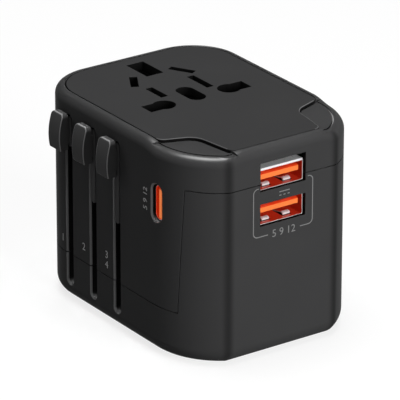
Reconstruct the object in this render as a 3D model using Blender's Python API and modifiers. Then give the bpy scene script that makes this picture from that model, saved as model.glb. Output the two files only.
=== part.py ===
"""Universal travel adapter: a socket on top, three sliders that push plug pins out of the base, USB ports.

The origin lies on the flat base, at the centre of the body's outline. +Z is up, the USB-A ports face -Y and
the sliders are on the -X side. Sizes are real sizes in millimetres, turned to metres with MM.
"""

import math

import bmesh
import bpy
from mathutils import Matrix, Vector

MM = 0.001

# Body: straight sides, round back corners, and front corners that turn in two arcs
BODY_WIDTH = 51.4 * MM
BODY_DEPTH = 68.4 * MM
BODY_HEIGHT = 54.0 * MM
WALL = 2.2 * MM
FLOOR = 2.4 * MM
BACK_CORNER_RADIUS = 13.5 * MM
FRONT_CORNER_RADIUS = 19.6 * MM
FRONT_CORNER_SWEEP = math.radians(58.8)
FRONT_EDGE_RADIUS = 5.0 * MM
TOP_FILLET = 2.5 * MM
BOTTOM_FILLET = 4.2 * MM
CLEARANCE = 0.3 * MM

# Parting line between the two housings: low at the sides, high across the front panel, whose edges lie at
# these shares of the way from the front to the USB-C window
LOWER_SEAM = 12.7 * MM
UPPER_SEAM_BELOW_TOP = 9.3 * MM
PANEL_SHARE_LOW = 0.678
PANEL_SHARE_HIGH = 0.5527

# Socket plate, the rim round it and the lowered front corners
PLATE_MARGIN = 3.1 * MM
PLATE_FRONT_MARGIN = 4.0 * MM
PLATE_DROP = 0.3 * MM
PLATE_THICKNESS = 2.2 * MM
RING_WIDTH = 1.2 * MM
RING_THICKNESS = 1.5 * MM
LEDGE_DROP = 0.9 * MM
LEDGE_WIDTH = 10.7 * MM
LEDGE_LENGTH = 16.5 * MM
LEDGE_FRONT_FLARE = math.radians(8.0)
LEDGE_SIDE_FLARE = math.radians(15.0)
LEDGE_RADIUS = 4.5 * MM
LEDGE_RIM = 1.3 * MM

# Socket pattern, measured from the line through the line and neutral holes, which lies this far from the back
SOCKET_FROM_BACK = 32.6 * MM
EARTH_OFFSET = 22.2 * MM
EARTH_HOLE_WIDTH = 4.9 * MM
EARTH_HOLE_LENGTH = 9.1 * MM
LIVE_ROUND_X = 9.5 * MM
LIVE_ROUND_RADIUS = 2.87 * MM
LIVE_OUTER_X = 14.7 * MM
LIVE_HALF_WIDTH = 2.27 * MM
FLAT_SLOT_X = 6.4 * MM
FLAT_SLOT_WIDTH = 1.95 * MM
FLAT_SLOT_CENTRE = 7.7 * MM
FLAT_SLOT_SHORT = 7.0 * MM
FLAT_SLOT_LONG = 8.8 * MM
SLANT_SLOT_X = 7.05 * MM
SLANT_SLOT_CENTRE = 16.5 * MM
SLANT_SLOT_WIDTH = 2.0 * MM
SLANT_SLOT_LENGTH = 6.7 * MM
SLANT_ANGLE = math.radians(30.0)
OVAL_RADIUS = 2.3 * MM
OVAL_LENGTH = 4.9 * MM

# Contact block under the plate
BLOCK_WIDTH = 35.0 * MM
BLOCK_FRONT = 11.1 * MM
BLOCK_BACK = 27.9 * MM
BLOCK_FRONT_RADIUS = 4.0 * MM
BLOCK_BACK_RADIUS = 7.0 * MM
CONTACT_THICKNESS = 0.6 * MM
CONTACT_BELOW_TOP = 5.0 * MM
LIVE_CONTACT_LENGTH = 8.4 * MM
EARTH_CONTACT_LENGTH = 6.2 * MM
PLATE_BOSS_RADIUS = 2.4 * MM
PLATE_BOSS_HEIGHT = 5.5 * MM
PLATE_BOSS_X = 13.5 * MM
PLATE_BOSS_BACK = 20.9 * MM
PLATE_BOSS_FRONT = 7.4 * MM

# Screws
SCREW_RADIUS = 0.9 * MM
SCREW_HEAD_RADIUS = 1.6 * MM
SCREW_HEAD_HEIGHT = 1.3 * MM
SOCKET_SCREW_LENGTH = 6.5 * MM
HOUSING_SCREW_LENGTH = 13.0 * MM
HOUSING_SCREW_INSET = 6.5 * MM
HOUSING_HEAD_DEPTH = 8.0 * MM
POST_RADIUS = 2.3 * MM
SCREW_BOSS_RADIUS = 2.9 * MM

# Sliders: one slot, knob and carriage each, in order from the back: round pins, square pins, flat blades
SLIDER_PITCH = 10.35 * MM
MIDDLE_SLOT_OFFSET = 6.85 * MM
SLOT_WIDTH = 2.2 * MM
SLOT_BOTTOM = 4.7 * MM
SLOT_BELOW_TOP = 4.8 * MM
TRAVEL = 23.0 * MM
CARRIAGE_LIFT = 3.0 * MM
CARRIAGE_THICKNESS = 4.0 * MM
ARM_THICKNESS = 2.5 * MM
ARM_WIDTH = 2.4 * MM
ARM_BELOW_TOP = 6.0 * MM
KNOB_BELOW_TOP = 3.8 * MM
KNOB_HEIGHT = 10.0 * MM
KNOB_WIDTH = 5.15 * MM
KNOB_PROUD_TOP = 1.7 * MM
KNOB_PROUD_MIDDLE = 2.8 * MM
KNOB_PROUD_BOTTOM = 2.5 * MM
KNOB_TOP_RADIUS = 1.6 * MM
KNOB_EDGE = 0.3 * MM
PEG_SIZE = 1.4 * MM
PEG_LENGTH = 1.6 * MM
NECK_WIDTH = 1.2 * MM
STEM_SINK = 0.15 * MM
EU_STEM_RISE = 0.8 * MM
UK_STEM_DROP = 0.2 * MM
US_STEM_DROP = 2.0 * MM

# Plug pins
EU_SPACING = 19.0 * MM
EU_PIN_OFFSET = 11.1 * MM
EU_PIN_RADIUS = 2.0 * MM
EU_CORE_RADIUS = 1.3 * MM
EU_REACH = 19.0 * MM
EU_SLEEVE_REACH = 10.0 * MM
EU_FLANGE_RADIUS = 2.6 * MM
EU_FLANGE_SINK = 1.5 * MM
UK_SPACING = 22.2 * MM
UK_PIN_WIDTH = 6.35 * MM
UK_PIN_THICKNESS = 4.0 * MM
UK_CORE_INSET = 0.75 * MM
UK_REACH = 17.7 * MM
UK_SLEEVE_REACH = 9.0 * MM
UK_EARTH_LENGTH = 8.0 * MM
UK_EARTH_REACH = 22.7 * MM
US_SPACING = 12.7 * MM
US_BLADE_OFFSET = 10.6 * MM
US_BLADE_WIDTH = 6.35 * MM
US_BLADE_THICKNESS = 1.5 * MM
US_REACH = 16.4 * MM
US_HOLE_RADIUS = 1.5 * MM
US_HOLE_FROM_TIP = 4.5 * MM
TURRET_NECK_RADIUS = 4.0 * MM
TURRET_BODY_RADIUS = 4.6 * MM
TURRET_FLANGE_RADIUS = 5.5 * MM
TURRET_FLANGE_HEIGHT = 1.0 * MM
BOSS_WALL = 1.3 * MM
EU_BOSS_RADIUS = 4.0 * MM
BAR_WIDTH = 2.8 * MM
BOSS_RISE = 0.2 * MM
CARRIAGE_CORNER = 1.0 * MM

# USB ports and the charger board
PORT_WIDTH = 13.1 * MM
PORT_HEIGHT = 5.6 * MM
UPPER_PORT_BELOW_TOP = 11.2 * MM
PORT_PITCH = 8.85 * MM
UPPER_PORT_HEIGHT = 7.2 * MM
PORT_LIP = 1.0 * MM
SHELL_WIDTH = 13.3 * MM
SHELL_HEIGHT = 5.8 * MM
SHELL_SHEET = 0.4 * MM
TONGUE_WIDTH = 10.2 * MM
TONGUE_THICKNESS = 1.8 * MM
TONGUE_BELOW_TOP = 0.7 * MM
TONGUE_SETBACK = 0.8 * MM
INSERT_BACK = 2.0 * MM
USB_C_BEFORE_BOARD = 0.8 * MM
USB_C_BELOW_TOP = 14.8 * MM
USB_C_HEIGHT = 8.94 * MM
USB_C_WIDTH = 3.26 * MM
USB_C_DEPTH = 7.3 * MM
USB_C_SETBACK = 0.7 * MM
USB_C_TONGUE_HEIGHT = 6.6 * MM
USB_C_TONGUE_THICKNESS = 0.8 * MM
USB_C_TONGUE_SETBACK = 0.9 * MM
USB_C_BACK = 1.0 * MM
PCB_GAP = 0.85 * MM
PCB_THICKNESS = 1.6 * MM
PCB_HALF_WIDTH = 21.5 * MM
TRANSFORMER_WIDTH = 16.0 * MM
TRANSFORMER_HEIGHT = 17.0 * MM
TRANSFORMER_DEPTH = 6.0 * MM
TRANSFORMER_BOTTOM = 8.0 * MM
CAPACITOR_RADIUS = 3.2 * MM
CAPACITOR_LENGTH = 5.0 * MM
CAPACITOR_X = 13.0 * MM
CAPACITOR_Z = 16.0 * MM
FUSE_RADIUS = 1.6 * MM
FUSE_LENGTH = 20.0 * MM
FUSE_Z = 5.25 * MM
FUSE_CAP_LENGTH = 4.0 * MM
CLIP_SHEET = 0.5 * MM

# Worked out from the sizes above
HALF_WIDTH = BODY_WIDTH / 2
HALF_DEPTH = BODY_DEPTH / 2
SIDE_INNER = HALF_WIDTH - WALL
RIM_TOP = BODY_HEIGHT
UPPER_SEAM = RIM_TOP - UPPER_SEAM_BELOW_TOP
PLATE_TOP = RIM_TOP - PLATE_DROP
PLATE_BOTTOM = PLATE_TOP - PLATE_THICKNESS
RING_TOP = PLATE_BOTTOM - CLEARANCE
RING_BOTTOM = RING_TOP - RING_THICKNESS
CARRIAGE_BOTTOM = CARRIAGE_LIFT + TRAVEL
CARRIAGE_TOP = CARRIAGE_BOTTOM + CARRIAGE_THICKNESS
BLOCK_BOTTOM = CARRIAGE_TOP + 2 * CLEARANCE
BLOCK_TOP = PLATE_BOTTOM - CLEARANCE
SOCKET_Y = HALF_DEPTH - SOCKET_FROM_BACK
EARTH_Y = SOCKET_Y + EARTH_OFFSET
ARM_OUTER = -SIDE_INNER + 2 * CLEARANCE
ARM_INNER = ARM_OUTER + ARM_THICKNESS
ARM_TOP = RIM_TOP - ARM_BELOW_TOP
FOOT = ARM_OUTER + CLEARANCE
UK_SLOT_Y = SOCKET_Y + MIDDLE_SLOT_OFFSET
EU_SLOT_Y = UK_SLOT_Y + SLIDER_PITCH
US_SLOT_Y = UK_SLOT_Y - SLIDER_PITCH
SLOT_TOP = RIM_TOP - SLOT_BELOW_TOP
KNOB_BOTTOM = RIM_TOP - KNOB_BELOW_TOP - KNOB_HEIGHT
EU_STEM_BOTTOM = KNOB_BOTTOM + EU_STEM_RISE
UK_STEM_BOTTOM = CARRIAGE_TOP - UK_STEM_DROP
US_STEM_BOTTOM = CARRIAGE_TOP - US_STEM_DROP
EU_PIN_Y = SOCKET_Y + EU_PIN_OFFSET
US_BLADE_Y = SOCKET_Y - US_BLADE_OFFSET
US_BED_HALF = TURRET_FLANGE_RADIUS + CLEARANCE + BOSS_WALL / 2
UPPER_PORT_BOTTOM = RIM_TOP - UPPER_PORT_BELOW_TOP
LOWER_PORT_BOTTOM = UPPER_PORT_BOTTOM - PORT_PITCH
PCB_Y = US_BLADE_Y - US_BED_HALF - PCB_GAP
PCB_FRONT = PCB_Y - PCB_THICKNESS
FUSE_Y = PCB_FRONT - 2 * CLEARANCE - CLIP_SHEET - FUSE_RADIUS
USB_C_Y = PCB_FRONT - USB_C_BEFORE_BOARD
USB_C_Z = RIM_TOP - USB_C_BELOW_TOP
USB_C_ROOM = HALF_DEPTH + USB_C_Y - USB_C_WIDTH / 2 - CLEARANCE
PANEL_DEPTH_LOW = PANEL_SHARE_LOW * USB_C_ROOM
PANEL_DEPTH_HIGH = PANEL_SHARE_HIGH * USB_C_ROOM
SHELL_FRONT = -HALF_DEPTH + PORT_LIP + CLEARANCE
SHELL_BACK = PCB_FRONT - CLEARANCE
PORT_OVERLAP = (SHELL_HEIGHT - PORT_HEIGHT) / 2
FAR = 4 * BODY_DEPTH
ROUND = 20


# Collections and materials

def fresh_collection(name):
    collection = bpy.data.collections.new(name)
    bpy.context.scene.collection.children.link(collection)
    return collection


def finish(name, colour, roughness, metallic=0.0):
    material = bpy.data.materials.new(name)
    material.use_nodes = True
    shader = material.node_tree.nodes["Principled BSDF"]
    shader.inputs["Base Color"].default_value = (*colour, 1.0)
    shader.inputs["Roughness"].default_value = roughness
    shader.inputs["Metallic"].default_value = metallic
    material.diffuse_color = (*colour, 1.0)
    return material


for old in list(bpy.data.objects):
    bpy.data.objects.remove(old, do_unlink=True)
PARTS = fresh_collection("universal_travel_adapter")
CUTTERS = fresh_collection("cutters")

CASE_BLACK = finish("case_black", (0.030, 0.030, 0.031), 0.45)
PLATE_BLACK = finish("plate_black", (0.045, 0.045, 0.046), 0.55)
INNER_BLACK = finish("inner_black", (0.012, 0.012, 0.012), 0.6)
CARRIAGE_GREY = finish("carriage_grey", (0.05, 0.05, 0.052), 0.5)
PORT_ORANGE = finish("port_orange", (0.90, 0.16, 0.03), 0.4)
PORT_STEEL = finish("port_steel", (0.62, 0.62, 0.64), 0.3, 1.0)
PIN_NICKEL = finish("pin_nickel", (0.70, 0.68, 0.64), 0.25, 1.0)
CONTACT_BRASS = finish("contact_brass", (0.72, 0.52, 0.22), 0.3, 1.0)
BOARD_GREEN = finish("board_green", (0.02, 0.16, 0.06), 0.5)
TAPE_YELLOW = finish("tape_yellow", (0.75, 0.55, 0.08), 0.5)
CAN_GREY = finish("can_grey", (0.35, 0.36, 0.38), 0.35, 0.8)
FUSE_WHITE = finish("fuse_ceramic", (0.80, 0.80, 0.78), 0.3)
SCREW_STEEL = finish("screw_steel", (0.35, 0.35, 0.36), 0.35, 1.0)


# Outlines: lists of points in a plane, counter-clockwise

def arc(centre, radius, start, end, steps):
    span = end - start
    angles = [start + span * step / steps for step in range(steps + 1)]
    return [(centre[0] + radius * math.cos(a), centre[1] + radius * math.sin(a)) for a in angles]


def mirrored(outline):
    return [(-x, y) for x, y in reversed(outline)]


def moved(outline, dx, dy):
    return [(x + dx, y + dy) for x, y in outline]


def turned_by(outline, angle):
    cos, sin = math.cos(angle), math.sin(angle)
    return [(x * cos - y * sin, x * sin + y * cos) for x, y in outline]


def rectangle(low_x, high_x, low_y, high_y):
    return [(low_x, low_y), (high_x, low_y), (high_x, high_y), (low_x, high_y)]


def centred_rectangle(width, length):
    return rectangle(-width / 2, width / 2, -length / 2, length / 2)


def rounded_rectangle(low_x, high_x, low_y, high_y, low_radius, high_radius, steps=4):
    """A rectangle whose two low_y corners and two high_y corners each have their own radius."""
    quarter = math.pi / 2
    low, high = low_radius, high_radius
    return (
        arc((high_x - low, low_y + low), low, -quarter, 0, steps)
        + arc((high_x - high, high_y - high), high, 0, quarter, steps)
        + arc((low_x + high, high_y - high), high, quarter, 2 * quarter, steps)
        + arc((low_x + low, low_y + low), low, 2 * quarter, 3 * quarter, steps)
    )


def softened(outline, radius, steps=3):
    """An outline whose inner and outer corners are each rounded over about radius."""
    corners = [Vector(point) for point in outline]
    rounded = []
    for before, corner, after in zip(corners[-1:] + corners[:-1], corners, corners[1:] + corners[:1]):
        back, ahead = before - corner, after - corner
        run = min(radius, back.length / 2.2, ahead.length / 2.2)
        start = corner + back.normalized() * run
        end = corner + ahead.normalized() * run
        for step in range(steps + 1):
            share = step / steps
            near = start.lerp(corner, share)
            rounded.append(tuple(near.lerp(corner.lerp(end, share), share)))
    return rounded


def stadium(x, low_y, high_y, radius, steps=8):
    """A round-ended slot along y, with its end circles centred at low_y and high_y."""
    return arc((x, high_y), radius, 0, math.pi, steps) + arc((x, low_y), radius, math.pi, 2 * math.pi, steps)


def circle(x, y, radius, steps=ROUND):
    return arc((x, y), radius, 0, 2 * math.pi, steps)[:-1]


def body_outline(inset=0.0, front_inset=0.0):
    """The body seen from above, set in by inset, and cut straight front_inset behind the front face."""
    half = HALF_WIDTH - inset
    back = HALF_DEPTH - inset
    corner = BACK_CORNER_RADIUS - inset
    quarter = math.pi / 2
    sweep = FRONT_CORNER_SWEEP
    long_radius = FRONT_CORNER_RADIUS - inset
    edge_radius = FRONT_EDGE_RADIUS - inset
    edge_y = -HALF_DEPTH + FRONT_EDGE_RADIUS
    step_out = FRONT_CORNER_RADIUS - FRONT_EDGE_RADIUS
    long_centre = (HALF_WIDTH - FRONT_CORNER_RADIUS, edge_y + step_out * math.sin(sweep))
    edge_centre = (long_centre[0] + step_out * math.cos(sweep), edge_y)
    right = (
        arc(edge_centre, edge_radius, -quarter, -sweep, 4)
        + arc(long_centre, long_radius, -sweep, 0, 12)[1:]
        + arc((half - corner, back - corner), corner, 0, quarter, 12)
    )
    outline = right + mirrored(right)
    limit = -HALF_DEPTH + front_inset
    kept = [point for point in outline if point[1] >= limit]
    if len(kept) == len(outline):
        return outline
    crossings = []
    for start, end in zip(outline, outline[1:] + outline[:1]):
        if (start[1] - limit) * (end[1] - limit) < 0:
            share = (limit - start[1]) / (end[1] - start[1])
            crossings.append(start[0] + share * (end[0] - start[0]))
    return [(max(crossings), limit)] + kept + [(min(crossings), limit)]


def half_width_at(y):
    """How far the body reaches to either side at a place along its depth."""
    outline = body_outline()
    reaches = [
        start[0] + (end[0] - start[0]) * (y - start[1]) / (end[1] - start[1])
        for start, end in zip(outline, outline[1:])
        if start[1] <= y < end[1]
    ]
    return max(reaches)


def ledge_outline(side, grow=0.0):
    """A front corner of the top that lies lower than the rim; grow moves its inner edge towards the plate."""
    front = Vector((-math.sin(LEDGE_FRONT_FLARE), -math.cos(LEDGE_FRONT_FLARE)))
    out = Vector((math.cos(LEDGE_SIDE_FLARE), math.sin(LEDGE_SIDE_FLARE)))
    half_angle = front.angle(out) / 2
    middle = (front + out).normalized()
    radius = LEDGE_RADIUS + grow
    corner = Vector((HALF_WIDTH - LEDGE_WIDTH, -HALF_DEPTH + LEDGE_LENGTH))
    corner = corner - middle * (grow / math.sin(half_angle))
    centre = corner + middle * (radius / math.sin(half_angle))
    run = radius / math.tan(half_angle)
    first = corner + out * run - centre
    last = corner + front * run - centre
    start = math.atan2(first.y, first.x)
    end = math.atan2(last.y, last.x) % (2 * math.pi)
    outline = [tuple(corner + front * FAR), tuple(corner + (front + out) * FAR), tuple(corner + out * FAR)]
    outline += arc(centre, radius, start, end, 10)
    return outline if side > 0 else mirrored(outline)


def live_outline(side):
    """The hole for round and square live pins: a circle running out into a rectangle."""
    reach = math.asin(LIVE_HALF_WIDTH / LIVE_ROUND_RADIUS)
    outline = [(LIVE_OUTER_X, -LIVE_HALF_WIDTH), (LIVE_OUTER_X, LIVE_HALF_WIDTH)]
    outline += arc((LIVE_ROUND_X, 0), LIVE_ROUND_RADIUS, reach, 2 * math.pi - reach, 14)
    return outline if side > 0 else mirrored(outline)


def socket_outlines():
    """Every hole of the socket pattern, in the part's frame."""
    holes = [moved(centred_rectangle(EARTH_HOLE_WIDTH, EARTH_HOLE_LENGTH), 0, EARTH_Y)]
    holes.append(stadium(0, SOCKET_Y, SOCKET_Y + OVAL_LENGTH, OVAL_RADIUS))
    for side, flat_length in ((-1, FLAT_SLOT_SHORT), (1, FLAT_SLOT_LONG)):
        holes.append(moved(live_outline(side), 0, SOCKET_Y))
        flat = centred_rectangle(FLAT_SLOT_WIDTH, flat_length)
        holes.append(moved(flat, side * FLAT_SLOT_X, SOCKET_Y + FLAT_SLOT_CENTRE))
        slant = turned_by(centred_rectangle(SLANT_SLOT_WIDTH, SLANT_SLOT_LENGTH), side * SLANT_ANGLE)
        holes.append(moved(slant, side * SLANT_SLOT_X, SOCKET_Y + SLANT_SLOT_CENTRE))
    return holes


# Solids

AXIS_TURN = {
    "Z": Matrix.Identity(4),
    "X": Matrix(((0, 0, 1, 0), (1, 0, 0, 0), (0, 1, 0, 0), (0, 0, 0, 1))),
    "Y": Matrix(((1, 0, 0, 0), (0, 0, -1, 0), (0, 1, 0, 0), (0, 0, 0, 1))),
}


def prism(outline, low, high, axis="Z"):
    """An outline carried from low to high along an axis: its plane is XY for Z, YZ for X and XZ for Y."""
    if axis == "Y":
        low, high = -high, -low
    mesh = bmesh.new()
    face = mesh.faces.new([mesh.verts.new((x, y, low)) for x, y in outline])
    face.normal_update()
    moved_up = bmesh.ops.extrude_face_region(mesh, geom=[face])["geom"]
    top = [item for item in moved_up if isinstance(item, bmesh.types.BMVert)]
    bmesh.ops.translate(mesh, verts=top, vec=(0, 0, high - low))
    bmesh.ops.transform(mesh, matrix=AXIS_TURN[axis], verts=mesh.verts)
    bmesh.ops.recalc_face_normals(mesh, faces=mesh.faces)
    return mesh


def box(x, y, z):
    """A box from three (low, high) pairs."""
    mesh = bmesh.new()
    size = Vector((x[1] - x[0], y[1] - y[0], z[1] - z[0], 1))
    middle = Vector((x[0] + x[1], y[0] + y[1], z[0] + z[1])) / 2
    bmesh.ops.create_cube(mesh, size=1, matrix=Matrix.Translation(middle) @ Matrix.Diagonal(size))
    return mesh


def rod(x, y, radius, low, high, axis="Z"):
    return prism(circle(x, y, radius), low, high, axis)


def about(middle, width):
    return (middle - width / 2, middle + width / 2)


def body_blank():
    """The whole body as one block, with its top and bottom edges rounded over."""
    mesh = prism(body_outline(), 0, BODY_HEIGHT)
    for height, radius, segments in ((BODY_HEIGHT, TOP_FILLET, 5), (0, BOTTOM_FILLET, 6)):
        edges = [e for e in mesh.edges if all(abs(v.co.z - height) < CLEARANCE / 10 for v in e.verts)]
        bmesh.ops.bevel(mesh, geom=edges, offset=radius, segments=segments, profile=0.5, affect="EDGES")
    return mesh


def place(name, mesh, collection):
    data = bpy.data.meshes.new(name)
    mesh.to_mesh(data)
    mesh.free()
    obj = bpy.data.objects.new(name, data)
    collection.objects.link(obj)
    return obj


def piece(name, mesh, material):
    """One physical piece: an object that shows."""
    obj = place(name, mesh, PARTS)
    obj.data.materials.append(material)
    return obj


def helper(name, mesh):
    """A shape used only to cut or to build up another."""
    obj = place(name, mesh, CUTTERS)
    obj.hide_render = True
    obj.display_type = "WIRE"
    return obj


def boolean(obj, other, operation):
    modifier = obj.modifiers.new(other.name, "BOOLEAN")
    modifier.operation = operation
    modifier.object = other
    modifier.solver = "EXACT"


def cut(obj, *tools):
    for tool in tools:
        boolean(obj, tool, "DIFFERENCE")


def add(obj, *tools):
    for tool in tools:
        boolean(obj, tool, "UNION")


def turned_piece(name, profile, x, y, material):
    """A turned piece about a vertical axis: the profile is (radius, height) from the top of the axis down."""
    mesh = bmesh.new()
    points = [mesh.verts.new((radius, 0, height)) for radius, height in profile]
    for start, end in zip(points, points[1:]):
        mesh.edges.new((start, end))
    obj = piece(name, mesh, material)
    obj.location = (x, y, 0)
    screw = obj.modifiers.new("turn", "SCREW")
    screw.axis = "Z"
    screw.steps = ROUND
    screw.render_steps = ROUND
    screw.use_merge_vertices = True
    screw.merge_threshold = 0.000001
    return obj


def shade_round(obj):
    obj.data.shade_smooth()
    obj.data.set_sharp_from_angle(angle=math.radians(30))


def joint_empty(name, x, y, z):
    """An empty on a joint's axis, which carries the pieces that move with it."""
    empty = bpy.data.objects.new(name, None)
    empty.empty_display_size = 5 * MM
    empty.location = (x, y, z)
    PARTS.objects.link(empty)
    return empty


def carry(empty, *objects):
    for obj in objects:
        obj.parent = empty
        obj.matrix_parent_inverse = Matrix.Translation(empty.location).inverted()


# Housings

def split_region(name, above):
    """Everything above, or everything below, the parting line, half a clearance away from it."""
    gap = CLEARANCE / 2 if above else -CLEARANCE / 2
    line = [
        (FAR, LOWER_SEAM + gap),
        (-HALF_DEPTH + PANEL_DEPTH_LOW + gap, LOWER_SEAM + gap),
        (-HALF_DEPTH + PANEL_DEPTH_HIGH + gap, UPPER_SEAM + gap),
        (-FAR, UPPER_SEAM + gap),
    ]
    end = FAR if above else -FAR
    outline = line + [(-FAR, end), (FAR, end)]
    return helper(name, prism(outline, -FAR, FAR, "X"))


def plate_shape(name, grow, low, high, make):
    """The socket plate's outline with its two front corners cut back, grown by grow, from low to high."""
    outline = body_outline(PLATE_MARGIN - grow, PLATE_FRONT_MARGIN - grow)
    shape = make(name, prism(outline, low, high))
    for side, word in ((-1, "left"), (1, "right")):
        corner = ledge_outline(side, LEDGE_RIM - grow)
        cut(shape, helper(f"{name}_{word}_corner", prism(corner, low - WALL, high + WALL)))
    return shape


def slot_tools():
    tools = []
    radius = SLOT_WIDTH / 2
    for word, slot_y in (("eu", EU_SLOT_Y), ("uk", UK_SLOT_Y), ("us", US_SLOT_Y)):
        outline = stadium(slot_y, SLOT_BOTTOM + radius, SLOT_TOP - radius, radius)
        tools.append(helper(f"{word}_slot", prism(outline, -FAR, -SIDE_INNER + CLEARANCE, "X")))
    return tools


def usb_a_tools():
    """For each port a window in the front lip, and a pocket behind the lip for the metal shell."""
    tools = []
    lip_back = -HALF_DEPTH + PORT_LIP
    half_shell = SHELL_WIDTH / 2 + CLEARANCE
    ports = (("lower", LOWER_PORT_BOTTOM, PORT_HEIGHT), ("upper", UPPER_PORT_BOTTOM, UPPER_PORT_HEIGHT))
    for word, bottom, height in ports:
        window = box(about(0, PORT_WIDTH), (-FAR, lip_back + CLEARANCE), (bottom, bottom + height))
        shell_top = bottom - PORT_OVERLAP + SHELL_HEIGHT + CLEARANCE
        pocket_top = max(shell_top, bottom + height)
        pocket = box(
            (-half_shell, half_shell),
            (lip_back, -HALF_DEPTH + 2 * WALL),
            (bottom - PORT_OVERLAP - CLEARANCE, pocket_top),
        )
        tools += [helper(f"usb_a_{word}_window", window), helper(f"usb_a_{word}_pocket", pocket)]
    return tools


def usb_c_tool():
    radius = USB_C_WIDTH / 2 + CLEARANCE
    reach = (USB_C_HEIGHT - USB_C_WIDTH) / 2
    outline = stadium(USB_C_Y, USB_C_Z - reach, USB_C_Z + reach, radius)
    return helper("usb_c_window", prism(outline, -FAR, -SIDE_INNER + 2 * WALL, "X"))


def screw_places():
    """The two housing screws, on the diagonals of the back corners."""
    x, y = HALF_WIDTH - HOUSING_SCREW_INSET, HALF_DEPTH - HOUSING_SCREW_INSET
    return [(side, side * x, y) for side in (-1, 1)]


def pin_hole_tools():
    low, high = -FLOOR, 2 * FLOOR
    tools = []
    for side, word in ((-1, "left"), (1, "right")):
        eu = circle(side * EU_SPACING / 2, EU_PIN_Y, EU_PIN_RADIUS + CLEARANCE)
        uk = centred_rectangle(UK_PIN_WIDTH + 2 * CLEARANCE, UK_PIN_THICKNESS + 2 * CLEARANCE)
        us = circle(side * US_SPACING / 2, US_BLADE_Y, TURRET_NECK_RADIUS + CLEARANCE)
        tools.append(helper(f"eu_hole_{word}", prism(eu, low, high)))
        tools.append(helper(f"uk_hole_{word}", prism(moved(uk, side * UK_SPACING / 2, SOCKET_Y), low, high)))
        tools.append(helper(f"us_hole_{word}", prism(us, low, high)))
    earth = centred_rectangle(UK_PIN_THICKNESS + 2 * CLEARANCE, UK_EARTH_LENGTH + 2 * CLEARANCE)
    tools.append(helper("uk_hole_earth", prism(moved(earth, 0, EARTH_Y), low, high)))
    return tools


def housings():
    cavity = helper("cavity", prism(body_outline(WALL), FLOOR, RING_BOTTOM))
    side_tools = slot_tools() + usb_a_tools()

    upper = piece("upper_housing", body_blank(), CASE_BLACK)
    boolean(upper, split_region("above_the_seam", True), "INTERSECT")
    cut(upper, cavity)
    cut(upper, plate_shape("ring_opening", -RING_WIDTH, RING_BOTTOM - WALL, RING_TOP + WALL, helper))
    cut(upper, plate_shape("plate_recess", CLEARANCE, RING_TOP, RIM_TOP + WALL, helper))
    for side, word in ((-1, "left"), (1, "right")):
        ledge = prism(ledge_outline(side), RIM_TOP - LEDGE_DROP, RIM_TOP + WALL)
        cut(upper, helper(f"ledge_{word}", ledge))
    for side, x, y in screw_places():
        post = rod(x, y, POST_RADIUS, LOWER_SEAM + CLEARANCE, RING_BOTTOM + CLEARANCE)
        add(upper, helper(f"post_{side}", post))
    cut(upper, *side_tools, usb_c_tool())

    lower = piece("lower_housing", body_blank(), CASE_BLACK)
    boolean(lower, split_region("below_the_seam", False), "INTERSECT")
    cut(lower, cavity)
    for side, x, y in screw_places():
        boss = rod(x, y, SCREW_BOSS_RADIUS, FLOOR - CLEARANCE, LOWER_SEAM - CLEARANCE)
        add(lower, helper(f"screw_boss_{side}", boss))
    cut(lower, *side_tools, *pin_hole_tools())

    head_seat = HOUSING_HEAD_DEPTH
    for side, x, y in screw_places():
        shank = helper(f"screw_hole_{side}", rod(x, y, SCREW_RADIUS + CLEARANCE, -FLOOR, 2 * LOWER_SEAM))
        seat = helper(f"screw_seat_{side}", rod(x, y, SCREW_HEAD_RADIUS + CLEARANCE, -FLOOR, head_seat))
        cut(lower, shank, seat)
        end = head_seat + HOUSING_SCREW_LENGTH
        pilot = helper(f"screw_pilot_{side}", rod(x, y, SCREW_RADIUS + CLEARANCE, LOWER_SEAM - FLOOR, end))
        cut(upper, pilot)
        word = "left" if side < 0 else "right"
        screw(f"housing_screw_{word}", x, y, head_seat - CLEARANCE, HOUSING_SCREW_LENGTH)


def screw(name, x, y, seat, length):
    """A pan-head screw driven upwards: its head's bearing face is at seat."""
    tip = seat + length
    profile = [
        (0, tip),
        (SCREW_RADIUS / 2, tip),
        (SCREW_RADIUS, tip - SCREW_RADIUS),
        (SCREW_RADIUS, seat),
        (SCREW_HEAD_RADIUS, seat),
        (SCREW_HEAD_RADIUS, seat - SCREW_HEAD_HEIGHT * 0.6),
        (SCREW_HEAD_RADIUS * 0.7, seat - SCREW_HEAD_HEIGHT),
        (0, seat - SCREW_HEAD_HEIGHT),
    ]
    shade_round(turned_piece(name, profile, x, y, SCREW_STEEL))


# Socket

def boss_places():
    fronts = (("front", -PLATE_BOSS_FRONT), ("back", PLATE_BOSS_BACK))
    return [(f"{word}_{end}", side * PLATE_BOSS_X, SOCKET_Y + offset)
            for side, word in ((-1, "left"), (1, "right")) for end, offset in fronts]


def plate_piece(name, mesh):
    return piece(name, mesh, PLATE_BLACK)


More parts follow.
